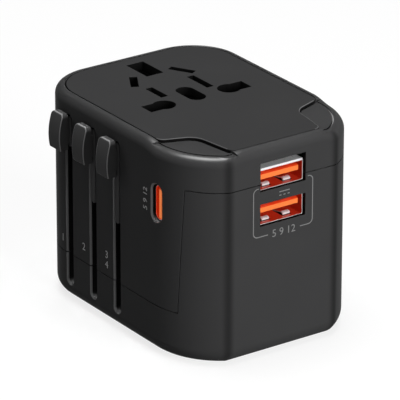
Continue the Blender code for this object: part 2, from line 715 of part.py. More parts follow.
def socket():
    plate = plate_shape("socket_plate", 0, PLATE_BOTTOM, PLATE_TOP, plate_piece)
    front, back = SOCKET_Y - BLOCK_FRONT, SOCKET_Y + BLOCK_BACK
    half = BLOCK_WIDTH / 2
    outline = rounded_rectangle(-half, half, front, back, BLOCK_FRONT_RADIUS, BLOCK_BACK_RADIUS)
    block = piece("contact_block", prism(outline, BLOCK_BOTTOM, BLOCK_TOP), INNER_BLACK)
    for number, hole in enumerate(socket_outlines()):
        well = helper(f"well_{number}", prism(hole, BLOCK_BOTTOM - WALL, PLATE_TOP + WALL))
        cut(plate, well)
        cut(block, well)
    boss_bottom = PLATE_BOTTOM - PLATE_BOSS_HEIGHT
    seat = boss_bottom - 2 * CLEARANCE - WALL
    for word, x, y in boss_places():
        boss = rod(x, y, PLATE_BOSS_RADIUS, boss_bottom, PLATE_BOTTOM + CLEARANCE)
        pilot = rod(x, y, SCREW_RADIUS + CLEARANCE, boss_bottom - WALL, boss_bottom + PLATE_BOSS_HEIGHT)
        pocket = rod(x, y, PLATE_BOSS_RADIUS + CLEARANCE, boss_bottom - CLEARANCE, BLOCK_TOP + WALL)
        shank = rod(x, y, SCREW_RADIUS + CLEARANCE, BLOCK_BOTTOM - WALL, boss_bottom)
        head = rod(x, y, SCREW_HEAD_RADIUS + CLEARANCE, BLOCK_BOTTOM - WALL, seat)
        add(plate, helper(f"plate_boss_{word}", boss))
        cut(plate, helper(f"plate_pilot_{word}", pilot))
        cut(block, helper(f"boss_pocket_{word}", pocket), helper(f"block_hole_{word}", shank))
        cut(block, helper(f"block_seat_{word}", head))
        screw(f"socket_screw_{word}", x, y, seat - CLEARANCE, SOCKET_SCREW_LENGTH)
    contacts(block)


def contacts(block):
    """Brass strips beside the wells, each slid up into its own pocket from below."""
    top = BLOCK_TOP - CONTACT_BELOW_TOP
    height = (BLOCK_BOTTOM + 2 * CLEARANCE, top)
    pocket_height = (BLOCK_BOTTOM - WALL, top + CLEARANCE)
    inner = LIVE_OUTER_X + CLEARANCE
    run = about(SOCKET_Y, LIVE_CONTACT_LENGTH)
    for side, name in ((-1, "line_contact"), (1, "neutral_contact")):
        strip = sorted((side * inner, side * (inner + CONTACT_THICKNESS)))
        pocket = sorted((side * (inner - 2 * CLEARANCE), side * (inner + CONTACT_THICKNESS + CLEARANCE)))
        wide = (run[0] - CLEARANCE, run[1] + CLEARANCE)
        cut(block, helper(f"{name}_pocket", box(pocket, wide, pocket_height)))
        piece(name, box(strip, run, height), CONTACT_BRASS)
    well_front = EARTH_Y - EARTH_HOLE_LENGTH / 2
    strip = (well_front - CLEARANCE - CONTACT_THICKNESS, well_front - CLEARANCE)
    pocket = (strip[0] - CLEARANCE, well_front + CLEARANCE)
    wide = about(0, EARTH_CONTACT_LENGTH + 2 * CLEARANCE)
    cut(block, helper("earth_contact_pocket", box(wide, pocket, pocket_height)))
    piece("earth_contact", box(about(0, EARTH_CONTACT_LENGTH), strip, height), CONTACT_BRASS)


# Sliders

def proud(share):
    """How far a knob's face stands out, for a share of its height: a parabola through three sizes."""
    at_bottom = KNOB_PROUD_BOTTOM * (1 - share) * (1 - 2 * share)
    at_middle = KNOB_PROUD_MIDDLE * 4 * share * (1 - share)
    at_top = KNOB_PROUD_TOP * share * (2 * share - 1)
    return at_bottom + at_middle + at_top


def knob_face(word, slot_y, inner):
    """Everything behind the knob's bulging face."""
    steps = 10
    rise = KNOB_HEIGHT / steps
    top = KNOB_BOTTOM + KNOB_HEIGHT
    face = [(-HALF_WIDTH - proud(step / steps), KNOB_BOTTOM + rise * step) for step in range(steps + 1)]
    below = (face[0][0], KNOB_BOTTOM - rise)
    above = (face[-1][0], top + rise)
    back = [(inner + WALL, top + rise), (inner + WALL, KNOB_BOTTOM - rise)]
    outline = [below, *face, above, *back]
    return helper(f"{word}_knob_face", prism(outline, slot_y - FAR, slot_y + FAR, "Y"))


def knob(word, slot_y, stem_bottom):
    """The finger piece: a block with a bulging face, a stem that fills the slot and a peg into the arm."""
    inner = -HALF_WIDTH - CLEARANCE
    top = KNOB_BOTTOM + KNOB_HEIGHT
    outline = rounded_rectangle(slot_y, slot_y + KNOB_WIDTH, KNOB_BOTTOM, top, 2 * KNOB_EDGE, KNOB_TOP_RADIUS)
    obj = piece(f"{word}_knob", prism(outline, -HALF_WIDTH - 2 * KNOB_PROUD_MIDDLE, inner, "X"), CASE_BLACK)
    boolean(obj, knob_face(word, slot_y, inner), "INTERSECT")
    edges = obj.modifiers.new("edges", "BEVEL")
    edges.width = KNOB_EDGE
    edges.segments = 2
    edges.limit_method = "ANGLE"
    edges.angle_limit = math.radians(50)
    half = SLOT_WIDTH / 2 - CLEARANCE
    stem_top = SLOT_TOP - SLOT_WIDTH / 2
    neck_bottom = max(stem_bottom, KNOB_BOTTOM) + KNOB_EDGE
    neck_run = (inner - KNOB_PROUD_TOP / 2, -SIDE_INNER)
    neck = box(neck_run, about(slot_y, NECK_WIDTH), (neck_bottom, stem_top - half))
    add(obj, helper(f"{word}_neck", neck))
    stem = rounded_rectangle(slot_y - half, slot_y + half, stem_bottom, stem_top, half * 0.98, half / 2)
    add(obj, helper(f"{word}_stem", prism(stem, -HALF_WIDTH + STEM_SINK, ARM_OUTER - CLEARANCE, "X")))
    peg_z = (stem_top + max(stem_bottom, KNOB_BOTTOM)) / 2
    peg = box((ARM_OUTER - WALL, ARM_OUTER + PEG_LENGTH), about(slot_y, PEG_SIZE), about(peg_z, PEG_SIZE))
    add(obj, helper(f"{word}_peg", peg))
    hole_size = PEG_SIZE + 2 * CLEARANCE
    hole_depth = (ARM_OUTER - WALL, ARM_OUTER + PEG_LENGTH + CLEARANCE)
    hole = box(hole_depth, about(slot_y, hole_size), about(peg_z, hole_size))
    return obj, helper(f"{word}_peg_hole", hole)


def carriage(word, slot_y, outline, bosses, holes, peg_hole):
    """A flat plate that reaches the pins, an arm up behind the slot, and bosses and holes for the pins."""
    plate = prism(softened(outline, CARRIAGE_CORNER), CARRIAGE_BOTTOM, CARRIAGE_TOP)
    obj = piece(f"{word}_carriage", plate, CARRIAGE_GREY)
    arm_bottom = CARRIAGE_BOTTOM + CARRIAGE_THICKNESS / 2
    arm = box((ARM_OUTER, ARM_INNER), about(slot_y, ARM_WIDTH), (arm_bottom, ARM_TOP))
    add(obj, helper(f"{word}_arm", arm))
    for number, (x, y, radius) in enumerate(bosses):
        boss = rod(x, y, radius, CARRIAGE_BOTTOM - BOSS_RISE, CARRIAGE_TOP + BOSS_RISE)
        add(obj, helper(f"{word}_boss_{number}", boss))
    cut(obj, peg_hole, *holes)
    return obj


def eu_slider():
    knob_piece, peg_hole = knob("eu", EU_SLOT_Y, EU_STEM_BOTTOM)
    pin_x = EU_SPACING / 2
    flange_seat = CARRIAGE_TOP - EU_FLANGE_SINK
    flange_top = CARRIAGE_TOP - CLEARANCE
    bore = EU_PIN_RADIUS + CLEARANCE
    holes, pins = [], []
    shoulder = CARRIAGE_LIFT + EU_SLEEVE_REACH
    sleeve_bottom = CARRIAGE_BOTTOM - shoulder
    tip = CARRIAGE_BOTTOM - CARRIAGE_LIFT - EU_REACH
    for side, end in ((-1, "left"), (1, "right")):
        x = side * pin_x
        holes.append(helper(f"eu_bore_{end}", rod(x, EU_PIN_Y, bore, CARRIAGE_BOTTOM - WALL, CARRIAGE_TOP)))
        seat = rod(x, EU_PIN_Y, EU_FLANGE_RADIUS + CLEARANCE, flange_seat - CLEARANCE, CARRIAGE_TOP + WALL)
        holes.append(helper(f"eu_seat_{end}", seat))
        profile = [
            (0, flange_top),
            (EU_FLANGE_RADIUS, flange_top),
            (EU_FLANGE_RADIUS, flange_seat),
            (EU_CORE_RADIUS, flange_seat),
            (EU_CORE_RADIUS, sleeve_bottom - CLEARANCE),
            (EU_PIN_RADIUS, sleeve_bottom - CLEARANCE),
            (EU_PIN_RADIUS, tip + EU_PIN_RADIUS),
            (EU_PIN_RADIUS * 0.87, tip + EU_PIN_RADIUS / 2),
            (EU_PIN_RADIUS / 2, tip + EU_PIN_RADIUS * 0.13),
            (0, tip),
        ]
        pin = turned_piece(f"eu_pin_{end}", profile, x, EU_PIN_Y, PIN_NICKEL)
        shade_round(pin)
        tube = rod(x, EU_PIN_Y, EU_PIN_RADIUS, sleeve_bottom, flange_seat - CLEARANCE)
        sleeve = piece(f"eu_sleeve_{end}", tube, INNER_BLACK)
        core = rod(x, EU_PIN_Y, EU_CORE_RADIUS + CLEARANCE, sleeve_bottom - WALL, CARRIAGE_TOP)
        cut(sleeve, helper(f"eu_sleeve_core_{end}", core))
        pins += [pin, sleeve]
    link = about(-pin_x, BAR_WIDTH)
    reach = about(EU_SLOT_Y, BAR_WIDTH)
    bridge = about(EU_PIN_Y, BAR_WIDTH)
    outline = [
        (FOOT, reach[0]),
        (link[0], reach[0]),
        (link[0], bridge[0]),
        (pin_x, bridge[0]),
        (pin_x, bridge[1]),
        (link[1], bridge[1]),
        (link[1], reach[1]),
        (FOOT, reach[1]),
    ]
    bosses = [(-pin_x, EU_PIN_Y, EU_BOSS_RADIUS), (pin_x, EU_PIN_Y, EU_BOSS_RADIUS)]
    body = carriage("eu", EU_SLOT_Y, outline, bosses, holes, peg_hole)
    carry(joint_empty("eu_slide", -HALF_WIDTH, EU_SLOT_Y, KNOB_BOTTOM), knob_piece, body, *pins)


def square_pin(name, x, y, width, thickness, tip, sleeve_bottom=None):
    """A flat-sided pin with a chamfered tip; with a sleeve its upper length is a thinner core."""
    top = CARRIAGE_TOP - CLEARANCE
    pin = piece(name, box(about(x, width), about(y, thickness), (tip, sleeve_bottom or top)), PIN_NICKEL)
    taper = pin.modifiers.new("tip", "BEVEL")
    taper.width = thickness / 8
    taper.segments = 2
    taper.limit_method = "ANGLE"
    taper.angle_limit = math.radians(50)
    if sleeve_bottom is None:
        return [pin]
    core_width, core_thickness = width - 2 * UK_CORE_INSET, thickness - 2 * UK_CORE_INSET
    core = box(about(x, core_width), about(y, core_thickness), (sleeve_bottom - thickness / 2, top))
    add(pin, helper(f"{name}_core", core))
    sleeve_low = sleeve_bottom + CLEARANCE
    tube = box(about(x, width), about(y, thickness), (sleeve_low, top))
    sleeve = piece(f"{name}_sleeve", tube, INNER_BLACK)
    room = box(
        about(x, core_width + 2 * CLEARANCE),
        about(y, core_thickness + 2 * CLEARANCE),
        (sleeve_low - WALL, top + WALL),
    )
    cut(sleeve, helper(f"{name}_sleeve_core", room))
    return [pin, sleeve]


def uk_slider():
    knob_piece, peg_hole = knob("uk", UK_SLOT_Y, UK_STEM_BOTTOM)
    pin_x = UK_SPACING / 2
    base = CARRIAGE_BOTTOM - CARRIAGE_LIFT
    through = (CARRIAGE_BOTTOM - WALL, CARRIAGE_TOP + WALL)
    half_wide = UK_PIN_WIDTH / 2 + CLEARANCE
    half_thick = UK_PIN_THICKNESS / 2 + CLEARANCE
    boss_y = (SOCKET_Y - half_thick - BOSS_WALL, SOCKET_Y + half_thick + BOSS_WALL)
    holes, pins = [], []
    for side, name in ((-1, "uk_pin_line"), (1, "uk_pin_neutral")):
        x = side * pin_x
        room = box((x - half_wide, x + half_wide), (SOCKET_Y - half_thick, SOCKET_Y + half_thick), through)
        holes.append(helper(f"{name}_room", room))
        sleeve_bottom = base - UK_SLEEVE_REACH
        pins += square_pin(name, x, SOCKET_Y, UK_PIN_WIDTH, UK_PIN_THICKNESS, base - UK_REACH, sleeve_bottom)
    earth_half = UK_EARTH_LENGTH / 2 + CLEARANCE
    room = box((-half_thick, half_thick), (EARTH_Y - earth_half, EARTH_Y + earth_half), through)
    holes.append(helper("uk_pin_earth_room", room))
    pins += square_pin("uk_pin_earth", 0, EARTH_Y, UK_PIN_THICKNESS, UK_EARTH_LENGTH, base - UK_EARTH_REACH)
    boss_x = (pin_x - half_wide - BOSS_WALL, pin_x + half_wide + BOSS_WALL)
    drop = -boss_x[1] + BAR_WIDTH
    rib = about(boss_x[1], BAR_WIDTH)
    reach = about(UK_SLOT_Y, BAR_WIDTH)
    bridge = about(SOCKET_Y, BAR_WIDTH)
    earth_arm = about(EARTH_Y - BAR_WIDTH / 2, BAR_WIDTH)
    earth_x = half_thick + BOSS_WALL
    earth_y = about(EARTH_Y, 2 * (earth_half + BOSS_WALL))
    outline = [
        (-boss_x[1], boss_y[0]),
        (-boss_x[0], boss_y[0]),
        (-boss_x[0], bridge[0]),
        (boss_x[0], bridge[0]),
        (boss_x[0], boss_y[0]),
        (rib[1], boss_y[0]),
        (rib[1], earth_arm[1]),
        (earth_x, earth_arm[1]),
        (earth_x, earth_y[1]),
        (-earth_x, earth_y[1]),
        (-earth_x, earth_y[0]),
        (earth_x, earth_y[0]),
        (earth_x, earth_arm[0]),
        (rib[0], earth_arm[0]),
        (rib[0], boss_y[1]),
        (boss_x[0], boss_y[1]),
        (boss_x[0], bridge[1]),
        (-boss_x[0], bridge[1]),
        (-boss_x[0], boss_y[1]),
        (drop, boss_y[1]),
        (drop, reach[1]),
        (FOOT, reach[1]),
        (FOOT, reach[0]),
        (-boss_x[1], reach[0]),
    ]
    body = carriage("uk", UK_SLOT_Y, outline, [], holes, peg_hole)
    carry(joint_empty("uk_slide", -HALF_WIDTH, UK_SLOT_Y, KNOB_BOTTOM), knob_piece, body, *pins)


def us_slider():
    knob_piece, peg_hole = knob("us", US_SLOT_Y, US_STEM_BOTTOM)
    flange_room = TURRET_FLANGE_RADIUS + CLEARANCE
    seat = CARRIAGE_TOP - TURRET_FLANGE_HEIGHT - 2 * CLEARANCE
    flange_top = CARRIAGE_TOP - CLEARANCE
    neck_bottom = CARRIAGE_BOTTOM - CARRIAGE_LIFT + CLEARANCE
    tip = CARRIAGE_BOTTOM - CARRIAGE_LIFT - US_REACH
    holes, turning = [], []
    for side, end in ((-1, "left"), (1, "right")):
        x = side * US_SPACING / 2
        body_room = TURRET_BODY_RADIUS + CLEARANCE
        bore = rod(x, US_BLADE_Y, body_room, CARRIAGE_BOTTOM - WALL, CARRIAGE_TOP)
        recess = rod(x, US_BLADE_Y, flange_room, seat, CARRIAGE_TOP + WALL)
        holes += [helper(f"us_bore_{end}", bore), helper(f"us_recess_{end}", recess)]
        profile = [
            (0, flange_top),
            (TURRET_FLANGE_RADIUS, flange_top),
            (TURRET_FLANGE_RADIUS, seat + CLEARANCE),
            (TURRET_BODY_RADIUS, seat + CLEARANCE),
            (TURRET_BODY_RADIUS, CARRIAGE_BOTTOM),
            (TURRET_NECK_RADIUS, CARRIAGE_BOTTOM),
            (TURRET_NECK_RADIUS, neck_bottom),
            (0, neck_bottom),
        ]
        turret = turned_piece(f"us_turret_{end}", profile, x, US_BLADE_Y, INNER_BLACK)
        shade_round(turret)
        blade_room = box(
            about(x, US_BLADE_THICKNESS + 2 * CLEARANCE),
            about(US_BLADE_Y, US_BLADE_WIDTH + 2 * CLEARANCE),
            (neck_bottom - WALL, CARRIAGE_TOP + WALL),
        )
        cut(turret, helper(f"us_blade_room_{end}", blade_room))
        blade = piece(
            f"us_blade_{end}",
            box(about(x, US_BLADE_THICKNESS), about(US_BLADE_Y, US_BLADE_WIDTH), (tip, flange_top)),
            PIN_NICKEL,
        )
        taper = blade.modifiers.new("tip", "BEVEL")
        taper.width = US_BLADE_THICKNESS / 4
        taper.segments = 2
        hole = rod(US_BLADE_Y, tip + US_HOLE_FROM_TIP, US_HOLE_RADIUS, *about(x, 2 * US_BLADE_WIDTH), "X")
        cut(blade, helper(f"us_blade_hole_{end}", hole))
        empty = joint_empty(f"us_turn_{end}", x, US_BLADE_Y, neck_bottom)
        carry(empty, turret, blade)
        turning.append(empty)
    bed = about(US_BLADE_Y, 2 * US_BED_HALF)
    bed_end = US_SPACING / 2 + US_BED_HALF
    outline = [
        (FOOT, bed[0]),
        (bed_end, bed[0]),
        (bed_end, bed[1]),
        (ARM_INNER + CLEARANCE, bed[1]),
        (ARM_INNER + CLEARANCE, US_SLOT_Y + BAR_WIDTH / 2),
        (FOOT, US_SLOT_Y + BAR_WIDTH / 2),
    ]
    body = carriage("us", US_SLOT_Y, outline, [], holes, peg_hole)
    slide = joint_empty("us_slide", -HALF_WIDTH, US_SLOT_Y, KNOB_BOTTOM)
    carry(slide, knob_piece, body, *turning)


# USB ports and charger

def usb_a(word, bottom):
    low = bottom - PORT_OVERLAP
    high = low + SHELL_HEIGHT
    tube = box(about(0, SHELL_WIDTH), (SHELL_FRONT, SHELL_BACK), (low, high))
    shell = piece(f"usb_a_{word}_shell", tube, PORT_STEEL)
    inside = about(0, SHELL_WIDTH - 2 * SHELL_SHEET)
    room = box(inside, (SHELL_FRONT - WALL, SHELL_BACK + WALL), (low + SHELL_SHEET, high - SHELL_SHEET))
    cut(shell, helper(f"usb_a_{word}_room", room))
    gap = SHELL_SHEET + CLEARANCE
    plug = box(
        about(0, SHELL_WIDTH - 2 * gap), (SHELL_BACK - INSERT_BACK, SHELL_BACK), (low + gap, high - gap)
    )
    insert = piece(f"usb_a_{word}_insert", plug, PORT_ORANGE)
    tongue_top = high - SHELL_SHEET - TONGUE_BELOW_TOP
    tongue = box(
        about(0, TONGUE_WIDTH),
        (SHELL_FRONT + TONGUE_SETBACK, SHELL_BACK - INSERT_BACK / 2),
        (tongue_top - TONGUE_THICKNESS, tongue_top),
    )
    add(insert, helper(f"usb_a_{word}_tongue", tongue))


def usb_c(board):
    """The side port, let into a notch in the board's edge."""
    front = -half_width_at(USB_C_Y) + USB_C_SETBACK
    back = front + USB_C_DEPTH

    def oval(shrink):
        reach = (USB_C_HEIGHT - USB_C_WIDTH) / 2
        return stadium(USB_C_Y, USB_C_Z - reach, USB_C_Z + reach, USB_C_WIDTH / 2 - shrink)

    shell = piece("usb_c_shell", prism(oval(0), front, back, "X"), PORT_STEEL)
    cut(shell, helper("usb_c_room", prism(oval(SHELL_SHEET), front - WALL, back + WALL, "X")))
    plug = prism(oval(SHELL_SHEET + CLEARANCE), back - USB_C_BACK, back, "X")
    insert = piece("usb_c_insert", plug, PORT_ORANGE)
    tongue = box(
        (front + USB_C_TONGUE_SETBACK, back - USB_C_BACK / 2),
        about(USB_C_Y, USB_C_TONGUE_THICKNESS),
        about(USB_C_Z, USB_C_TONGUE_HEIGHT),
    )
    add(insert, helper("usb_c_tongue", tongue))
    notch = box(
        (-HALF_WIDTH, back + CLEARANCE),
        (PCB_FRONT - WALL, PCB_Y + WALL),
        about(USB_C_Z, USB_C_HEIGHT + 2 * CLEARANCE),
    )
    cut(board, helper("usb_c_notch", notch))


def fuse():
    """A tube fuse across the board's lower edge, held in two clips that open to the front."""
    half = FUSE_LENGTH / 2
    shade_round(piece("fuse", rod(FUSE_Y, FUSE_Z, FUSE_RADIUS, -half, half, "X"), FUSE_WHITE))
    clip_outer = FUSE_RADIUS + CLEARANCE + CLIP_SHEET
    outline = rectangle(FUSE_Y - FUSE_RADIUS / 2, PCB_FRONT - CLEARANCE, *about(FUSE_Z, 2 * clip_outer))
    for side, end in ((-1, "left"), (1, "right")):
        run = sorted((side * half, side * (half - FUSE_CAP_LENGTH)))
        clip = piece(f"fuse_clip_{end}", prism(outline, *run, "X"), CONTACT_BRASS)
        room = rod(FUSE_Y, FUSE_Z, FUSE_RADIUS + CLEARANCE, -FUSE_LENGTH, FUSE_LENGTH, "X")
        mouth = box((-FUSE_LENGTH, FUSE_LENGTH), (FUSE_Y - WALL, FUSE_Y), about(FUSE_Z, 2 * FUSE_RADIUS))
        cut(clip, helper(f"fuse_room_{end}", room), helper(f"fuse_mouth_{end}", mouth))


def charger():
    standing = (FLOOR + CLEARANCE, RING_BOTTOM - CLEARANCE)
    sheet = box(about(0, 2 * PCB_HALF_WIDTH), (PCB_FRONT, PCB_Y), standing)
    board = piece("main_pcb", sheet, BOARD_GREEN)
    usb_a("lower", LOWER_PORT_BOTTOM)
    usb_a("upper", UPPER_PORT_BOTTOM)
    usb_c(board)
    fuse()
    mount = PCB_FRONT - CLEARANCE
    core = box(
        about(0, TRANSFORMER_WIDTH),
        (mount - TRANSFORMER_DEPTH, mount),
        (TRANSFORMER_BOTTOM, TRANSFORMER_BOTTOM + TRANSFORMER_HEIGHT),
    )
    transformer = piece("transformer", core, TAPE_YELLOW)
    soften = transformer.modifiers.new("edges", "BEVEL")
    soften.width = CLEARANCE
    for side, name in ((-1, "input_capacitor"), (1, "output_capacitor")):
        can = rod(side * CAPACITOR_X, CAPACITOR_Z, CAPACITOR_RADIUS, mount - CAPACITOR_LENGTH, mount, "Y")
        shade_round(piece(name, can, CAN_GREY))


housings()
socket()
eu_slider()
uk_slider()
us_slider()
charger()
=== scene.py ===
"""The looks of a universal travel adapter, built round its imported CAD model.

The frame is the part's own: the base lies on z = 0, the USB-A ports face -Y
and the sliders are on the -X side.
"""

import math

import bmesh
import bpy
from mathutils import Matrix, Vector

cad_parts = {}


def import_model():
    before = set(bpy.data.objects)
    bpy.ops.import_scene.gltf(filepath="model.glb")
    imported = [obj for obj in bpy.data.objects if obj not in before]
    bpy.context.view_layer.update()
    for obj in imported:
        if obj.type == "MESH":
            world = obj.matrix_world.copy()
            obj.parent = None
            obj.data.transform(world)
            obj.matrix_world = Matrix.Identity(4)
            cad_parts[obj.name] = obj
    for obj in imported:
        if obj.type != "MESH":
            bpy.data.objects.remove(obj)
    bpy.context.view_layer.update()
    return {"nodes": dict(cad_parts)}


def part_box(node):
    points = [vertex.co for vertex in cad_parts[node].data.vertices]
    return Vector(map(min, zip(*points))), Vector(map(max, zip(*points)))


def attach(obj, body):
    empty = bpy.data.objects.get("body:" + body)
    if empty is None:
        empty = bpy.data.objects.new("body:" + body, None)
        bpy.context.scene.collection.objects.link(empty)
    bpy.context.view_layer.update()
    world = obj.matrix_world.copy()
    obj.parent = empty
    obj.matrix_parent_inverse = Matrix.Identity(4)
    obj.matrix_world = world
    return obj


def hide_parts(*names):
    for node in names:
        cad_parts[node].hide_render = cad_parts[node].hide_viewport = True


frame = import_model()
NODES = frame["nodes"]

MM = 0.001
QUARTER = math.pi / 2

# Body: as in the part, but with narrower upright edges beside the front face
HALF_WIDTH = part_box("upper_housing")[1].x
HALF_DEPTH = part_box("upper_housing")[1].y
RIM_TOP = 54.0 * MM
WALL = 2.2 * MM
FLOOR = 2.4 * MM
CLEARANCE = 0.3 * MM
BACK_CORNER_RADIUS = 13.5 * MM
FRONT_CORNER_RADIUS = 19.6 * MM
FRONT_CORNER_SWEEP = math.radians(58.8)
FRONT_EDGE_RADIUS = 3.0 * MM
TOP_FILLET = 2.5 * MM
BOTTOM_FILLET = 4.2 * MM
FRONT_EDGE_STEPS = 8
CORNER_STEPS = 24
TOP_FILLET_STEPS = 10
BOTTOM_FILLET_STEPS = 12
LOWER_SEAM = 12.7 * MM
UPPER_SEAM = 44.7 * MM
PANEL_DEPTH_LOW = 9.2 * MM
PANEL_DEPTH_HIGH = 7.5 * MM
SEAM_GAP = 0.24 * MM

# Centres of the arcs that make the body's right half, seen from above
EDGE_Y = -HALF_DEPTH + FRONT_EDGE_RADIUS
EDGE_STEP = FRONT_CORNER_RADIUS - FRONT_EDGE_RADIUS
LONG_CENTRE = (HALF_WIDTH - FRONT_CORNER_RADIUS, EDGE_Y + EDGE_STEP * math.sin(FRONT_CORNER_SWEEP))
EDGE_CENTRE = (LONG_CENTRE[0] + EDGE_STEP * math.cos(FRONT_CORNER_SWEEP), EDGE_Y)
BACK_CENTRE = (HALF_WIDTH - BACK_CORNER_RADIUS, HALF_DEPTH - BACK_CORNER_RADIUS)

# Top: plate, rim and the two lowered corners
PLATE_TOP = 53.9 * MM
PLATE_MARGIN = 2.75 * MM
PLATE_THICKNESS = 2.2 * MM
PLATE_GAP = 0.3 * MM
RING_WIDTH = 1.2 * MM
RING_THICKNESS = 1.5 * MM
LEDGE_DROP = 0.9 * MM
LEDGE_TOP = RIM_TOP - LEDGE_DROP
LEDGE_WIDTH = 11.0 * MM
LEDGE_LENGTH = 15.05 * MM
LEDGE_FRONT_FLARE = math.radians(8.6)
LEDGE_SIDE_FLARE = math.radians(19.9)
LEDGE_RADIUS = 4.5 * MM
NOTCH_END_RADIUS = 2.0 * MM
NOTCH_CORNERS = (0, 1, 5, 6)
PLATE_ARC_STEPS = 14
RIM_FALL_X = (10.6 * MM, 17.0 * MM)
RIM_FALL_Y = (-19.0 * MM, -12.6 * MM)
RIM_FALL_STEPS = 8
GROOVE_WIDTH = 0.45 * MM
GROOVE_DEPTH = 0.5 * MM

# Socket holes
SOCKET_Y = 1.6 * MM
EARTH_OFFSET = 22.2 * MM
EARTH_HOLE = (4.9 * MM, 9.1 * MM)
LIVE_ROUND_X = 9.5 * MM
LIVE_ROUND_RADIUS = 2.87 * MM
LIVE_OUTER_X = 14.7 * MM
LIVE_HALF_WIDTH = 2.27 * MM
LIVE_ROUND_STEPS = 28
FLAT_SLOT_X = 6.4 * MM
FLAT_SLOT_WIDTH = 1.95 * MM
FLAT_SLOT_CENTRE = 7.7 * MM
FLAT_SLOT_SHORT = 7.0 * MM
FLAT_SLOT_LONG = 8.8 * MM
SLANT_SLOT_X = 7.05 * MM
SLANT_SLOT_CENTRE = 16.5 * MM
SLANT_SLOT = (2.0 * MM, 6.7 * MM)
SLANT_ANGLE = math.radians(30.0)
OVAL_RADIUS = 2.3 * MM
OVAL_LENGTH = 4.9 * MM

# Sliders
SLIDERS = {"eu": 18.8 * MM, "uk": 8.45 * MM, "us": -1.9 * MM}
STEM_BOTTOM = {"eu": 41.0 * MM, "uk": 29.8 * MM, "us": 28.0 * MM}
SLOT_WIDTH = 2.2 * MM
SLOT_BOTTOM = 4.7 * MM
SLOT_TOP = 49.2 * MM
KNOB_WIDTH = 4.95 * MM
KNOB_PAST_SLOT = 0.25 * MM
KNOB_BOTTOM = 40.2 * MM
KNOB_HEIGHT = 9.4 * MM
KNOB_PROUD = (2.5 * MM, 2.8 * MM, 1.7 * MM)
KNOB_TOP_RADIUS = 1.1 * MM
KNOB_EDGE = 0.18 * MM
KNOB_EDGE_STEPS = 5
KNOB_END_LEVELS = 4
KNOB_BOTTOM_STEPS = 8
KNOB_MIDDLE_STEPS = 12
KNOB_TOP_STEPS = 12
STEM_SINK = 0.15 * MM

# Holes in the base
EU_HOLE = (9.5 * MM, 12.7 * MM, 2.3 * MM)
UK_HOLE_X = 11.1 * MM
UK_HOLE = (6.95 * MM, 4.6 * MM)
UK_EARTH_HOLE = (4.6 * MM, 8.6 * MM)
US_HOLE = (6.35 * MM, -9.0 * MM, 4.3 * MM)
SCREW_INSET = 6.5 * MM
SCREW_BORE = 1.9 * MM
SCREW_SHANK = 1.2 * MM
SCREW_SEAT = 8.0 * MM
SCREW_BOSS = 2.9 * MM
SCREW_POST = 2.3 * MM
SCREW_END = 21.0 * MM

# Ports
PORT_WIDTH = 13.1 * MM
PORT_HEIGHT = 5.6 * MM
LOWER_PORT_BOTTOM = 33.95 * MM
UPPER_PORT_BOTTOM = 42.8 * MM
UPPER_PORT_HEIGHT = 7.2 * MM
PORT_LIP = 1.0 * MM
SHEET = 0.4 * MM

# Small rounded edges, which catch the light
SLOT_EDGE = 0.45 * MM
PORT_EDGE = 0.15 * MM
USB_C_EDGE = 0.3 * MM
USB_C_SET_IN = 0.1 * MM
RIM_EDGE = 0.35 * MM
PLATE_EDGE = 0.16 * MM
HOLE_EDGE = 0.1 * MM
BASE_HOLE_EDGE = 0.3 * MM

# Cutters
OVERCUT = 2 * MM
FAR = 0.2
FLARE_STEPS = 4
FLARE_ANGLE = math.radians(75)
FLARE_RISE = 0.5 * MM


# Outlines: lists of points in a plane, counter-clockwise

def arc(centre, radius, start, end, steps):
    angles = [start + (end - start) * step / steps for step in range(steps + 1)]
    return [(centre[0] + radius * math.cos(a), centre[1] + radius * math.sin(a)) for a in angles]


def mirrored(outline):
    return [(-x, y) for x, y in reversed(outline)]


def moved(outline, dx, dy):
    return [(x + dx, y + dy) for x, y in outline]


def turned_by(outline, angle):
    cos, sin = math.cos(angle), math.sin(angle)
    return [(x * cos - y * sin, x * sin + y * cos) for x, y in outline]


def rectangle(low_x, high_x, low_y, high_y):
    return [(low_x, low_y), (high_x, low_y), (high_x, high_y), (low_x, high_y)]


def centred(size):
    return rectangle(-size[0] / 2, size[0] / 2, -size[1] / 2, size[1] / 2)


def rounded(low_x, high_x, low_y, high_y, radius, steps=6):
    return (
        arc((high_x - radius, low_y + radius), radius, -QUARTER, 0, steps)
        + arc((high_x - radius, high_y - radius), radius, 0, QUARTER, steps)
        + arc((low_x + radius, high_y - radius), radius, QUARTER, 2 * QUARTER, steps)
        + arc((low_x + radius, low_y + radius), radius, 2 * QUARTER, 3 * QUARTER, steps)
    )


def stadium(x, low_y, high_y, radius, steps=16):
    """A round-ended slot along y, with its end circles centred at low_y and high_y."""
    return arc((x, high_y), radius, 0, math.pi, steps) + arc((x, low_y), radius, math.pi, 2 * math.pi, steps)


def circle(x, y, radius, steps=40):
    return arc((x, y), radius, 0, 2 * math.pi, steps)[:-1]


def grown(outline, by):
    """The outline moved outwards by a distance, corner by corner."""
    points = [Vector(point) for point in outline]
    result = []
    for before, point, after in zip(points[-1:] + points[:-1], points, points[1:] + points[:1]):
        came, goes = (point - before).normalized(), (after - point).normalized()
        first, second = Vector((came.y, -came.x)), Vector((goes.y, -goes.x))
        result.append(tuple(point + (first + second) * (by / (1 + first.dot(second)))))
    return result


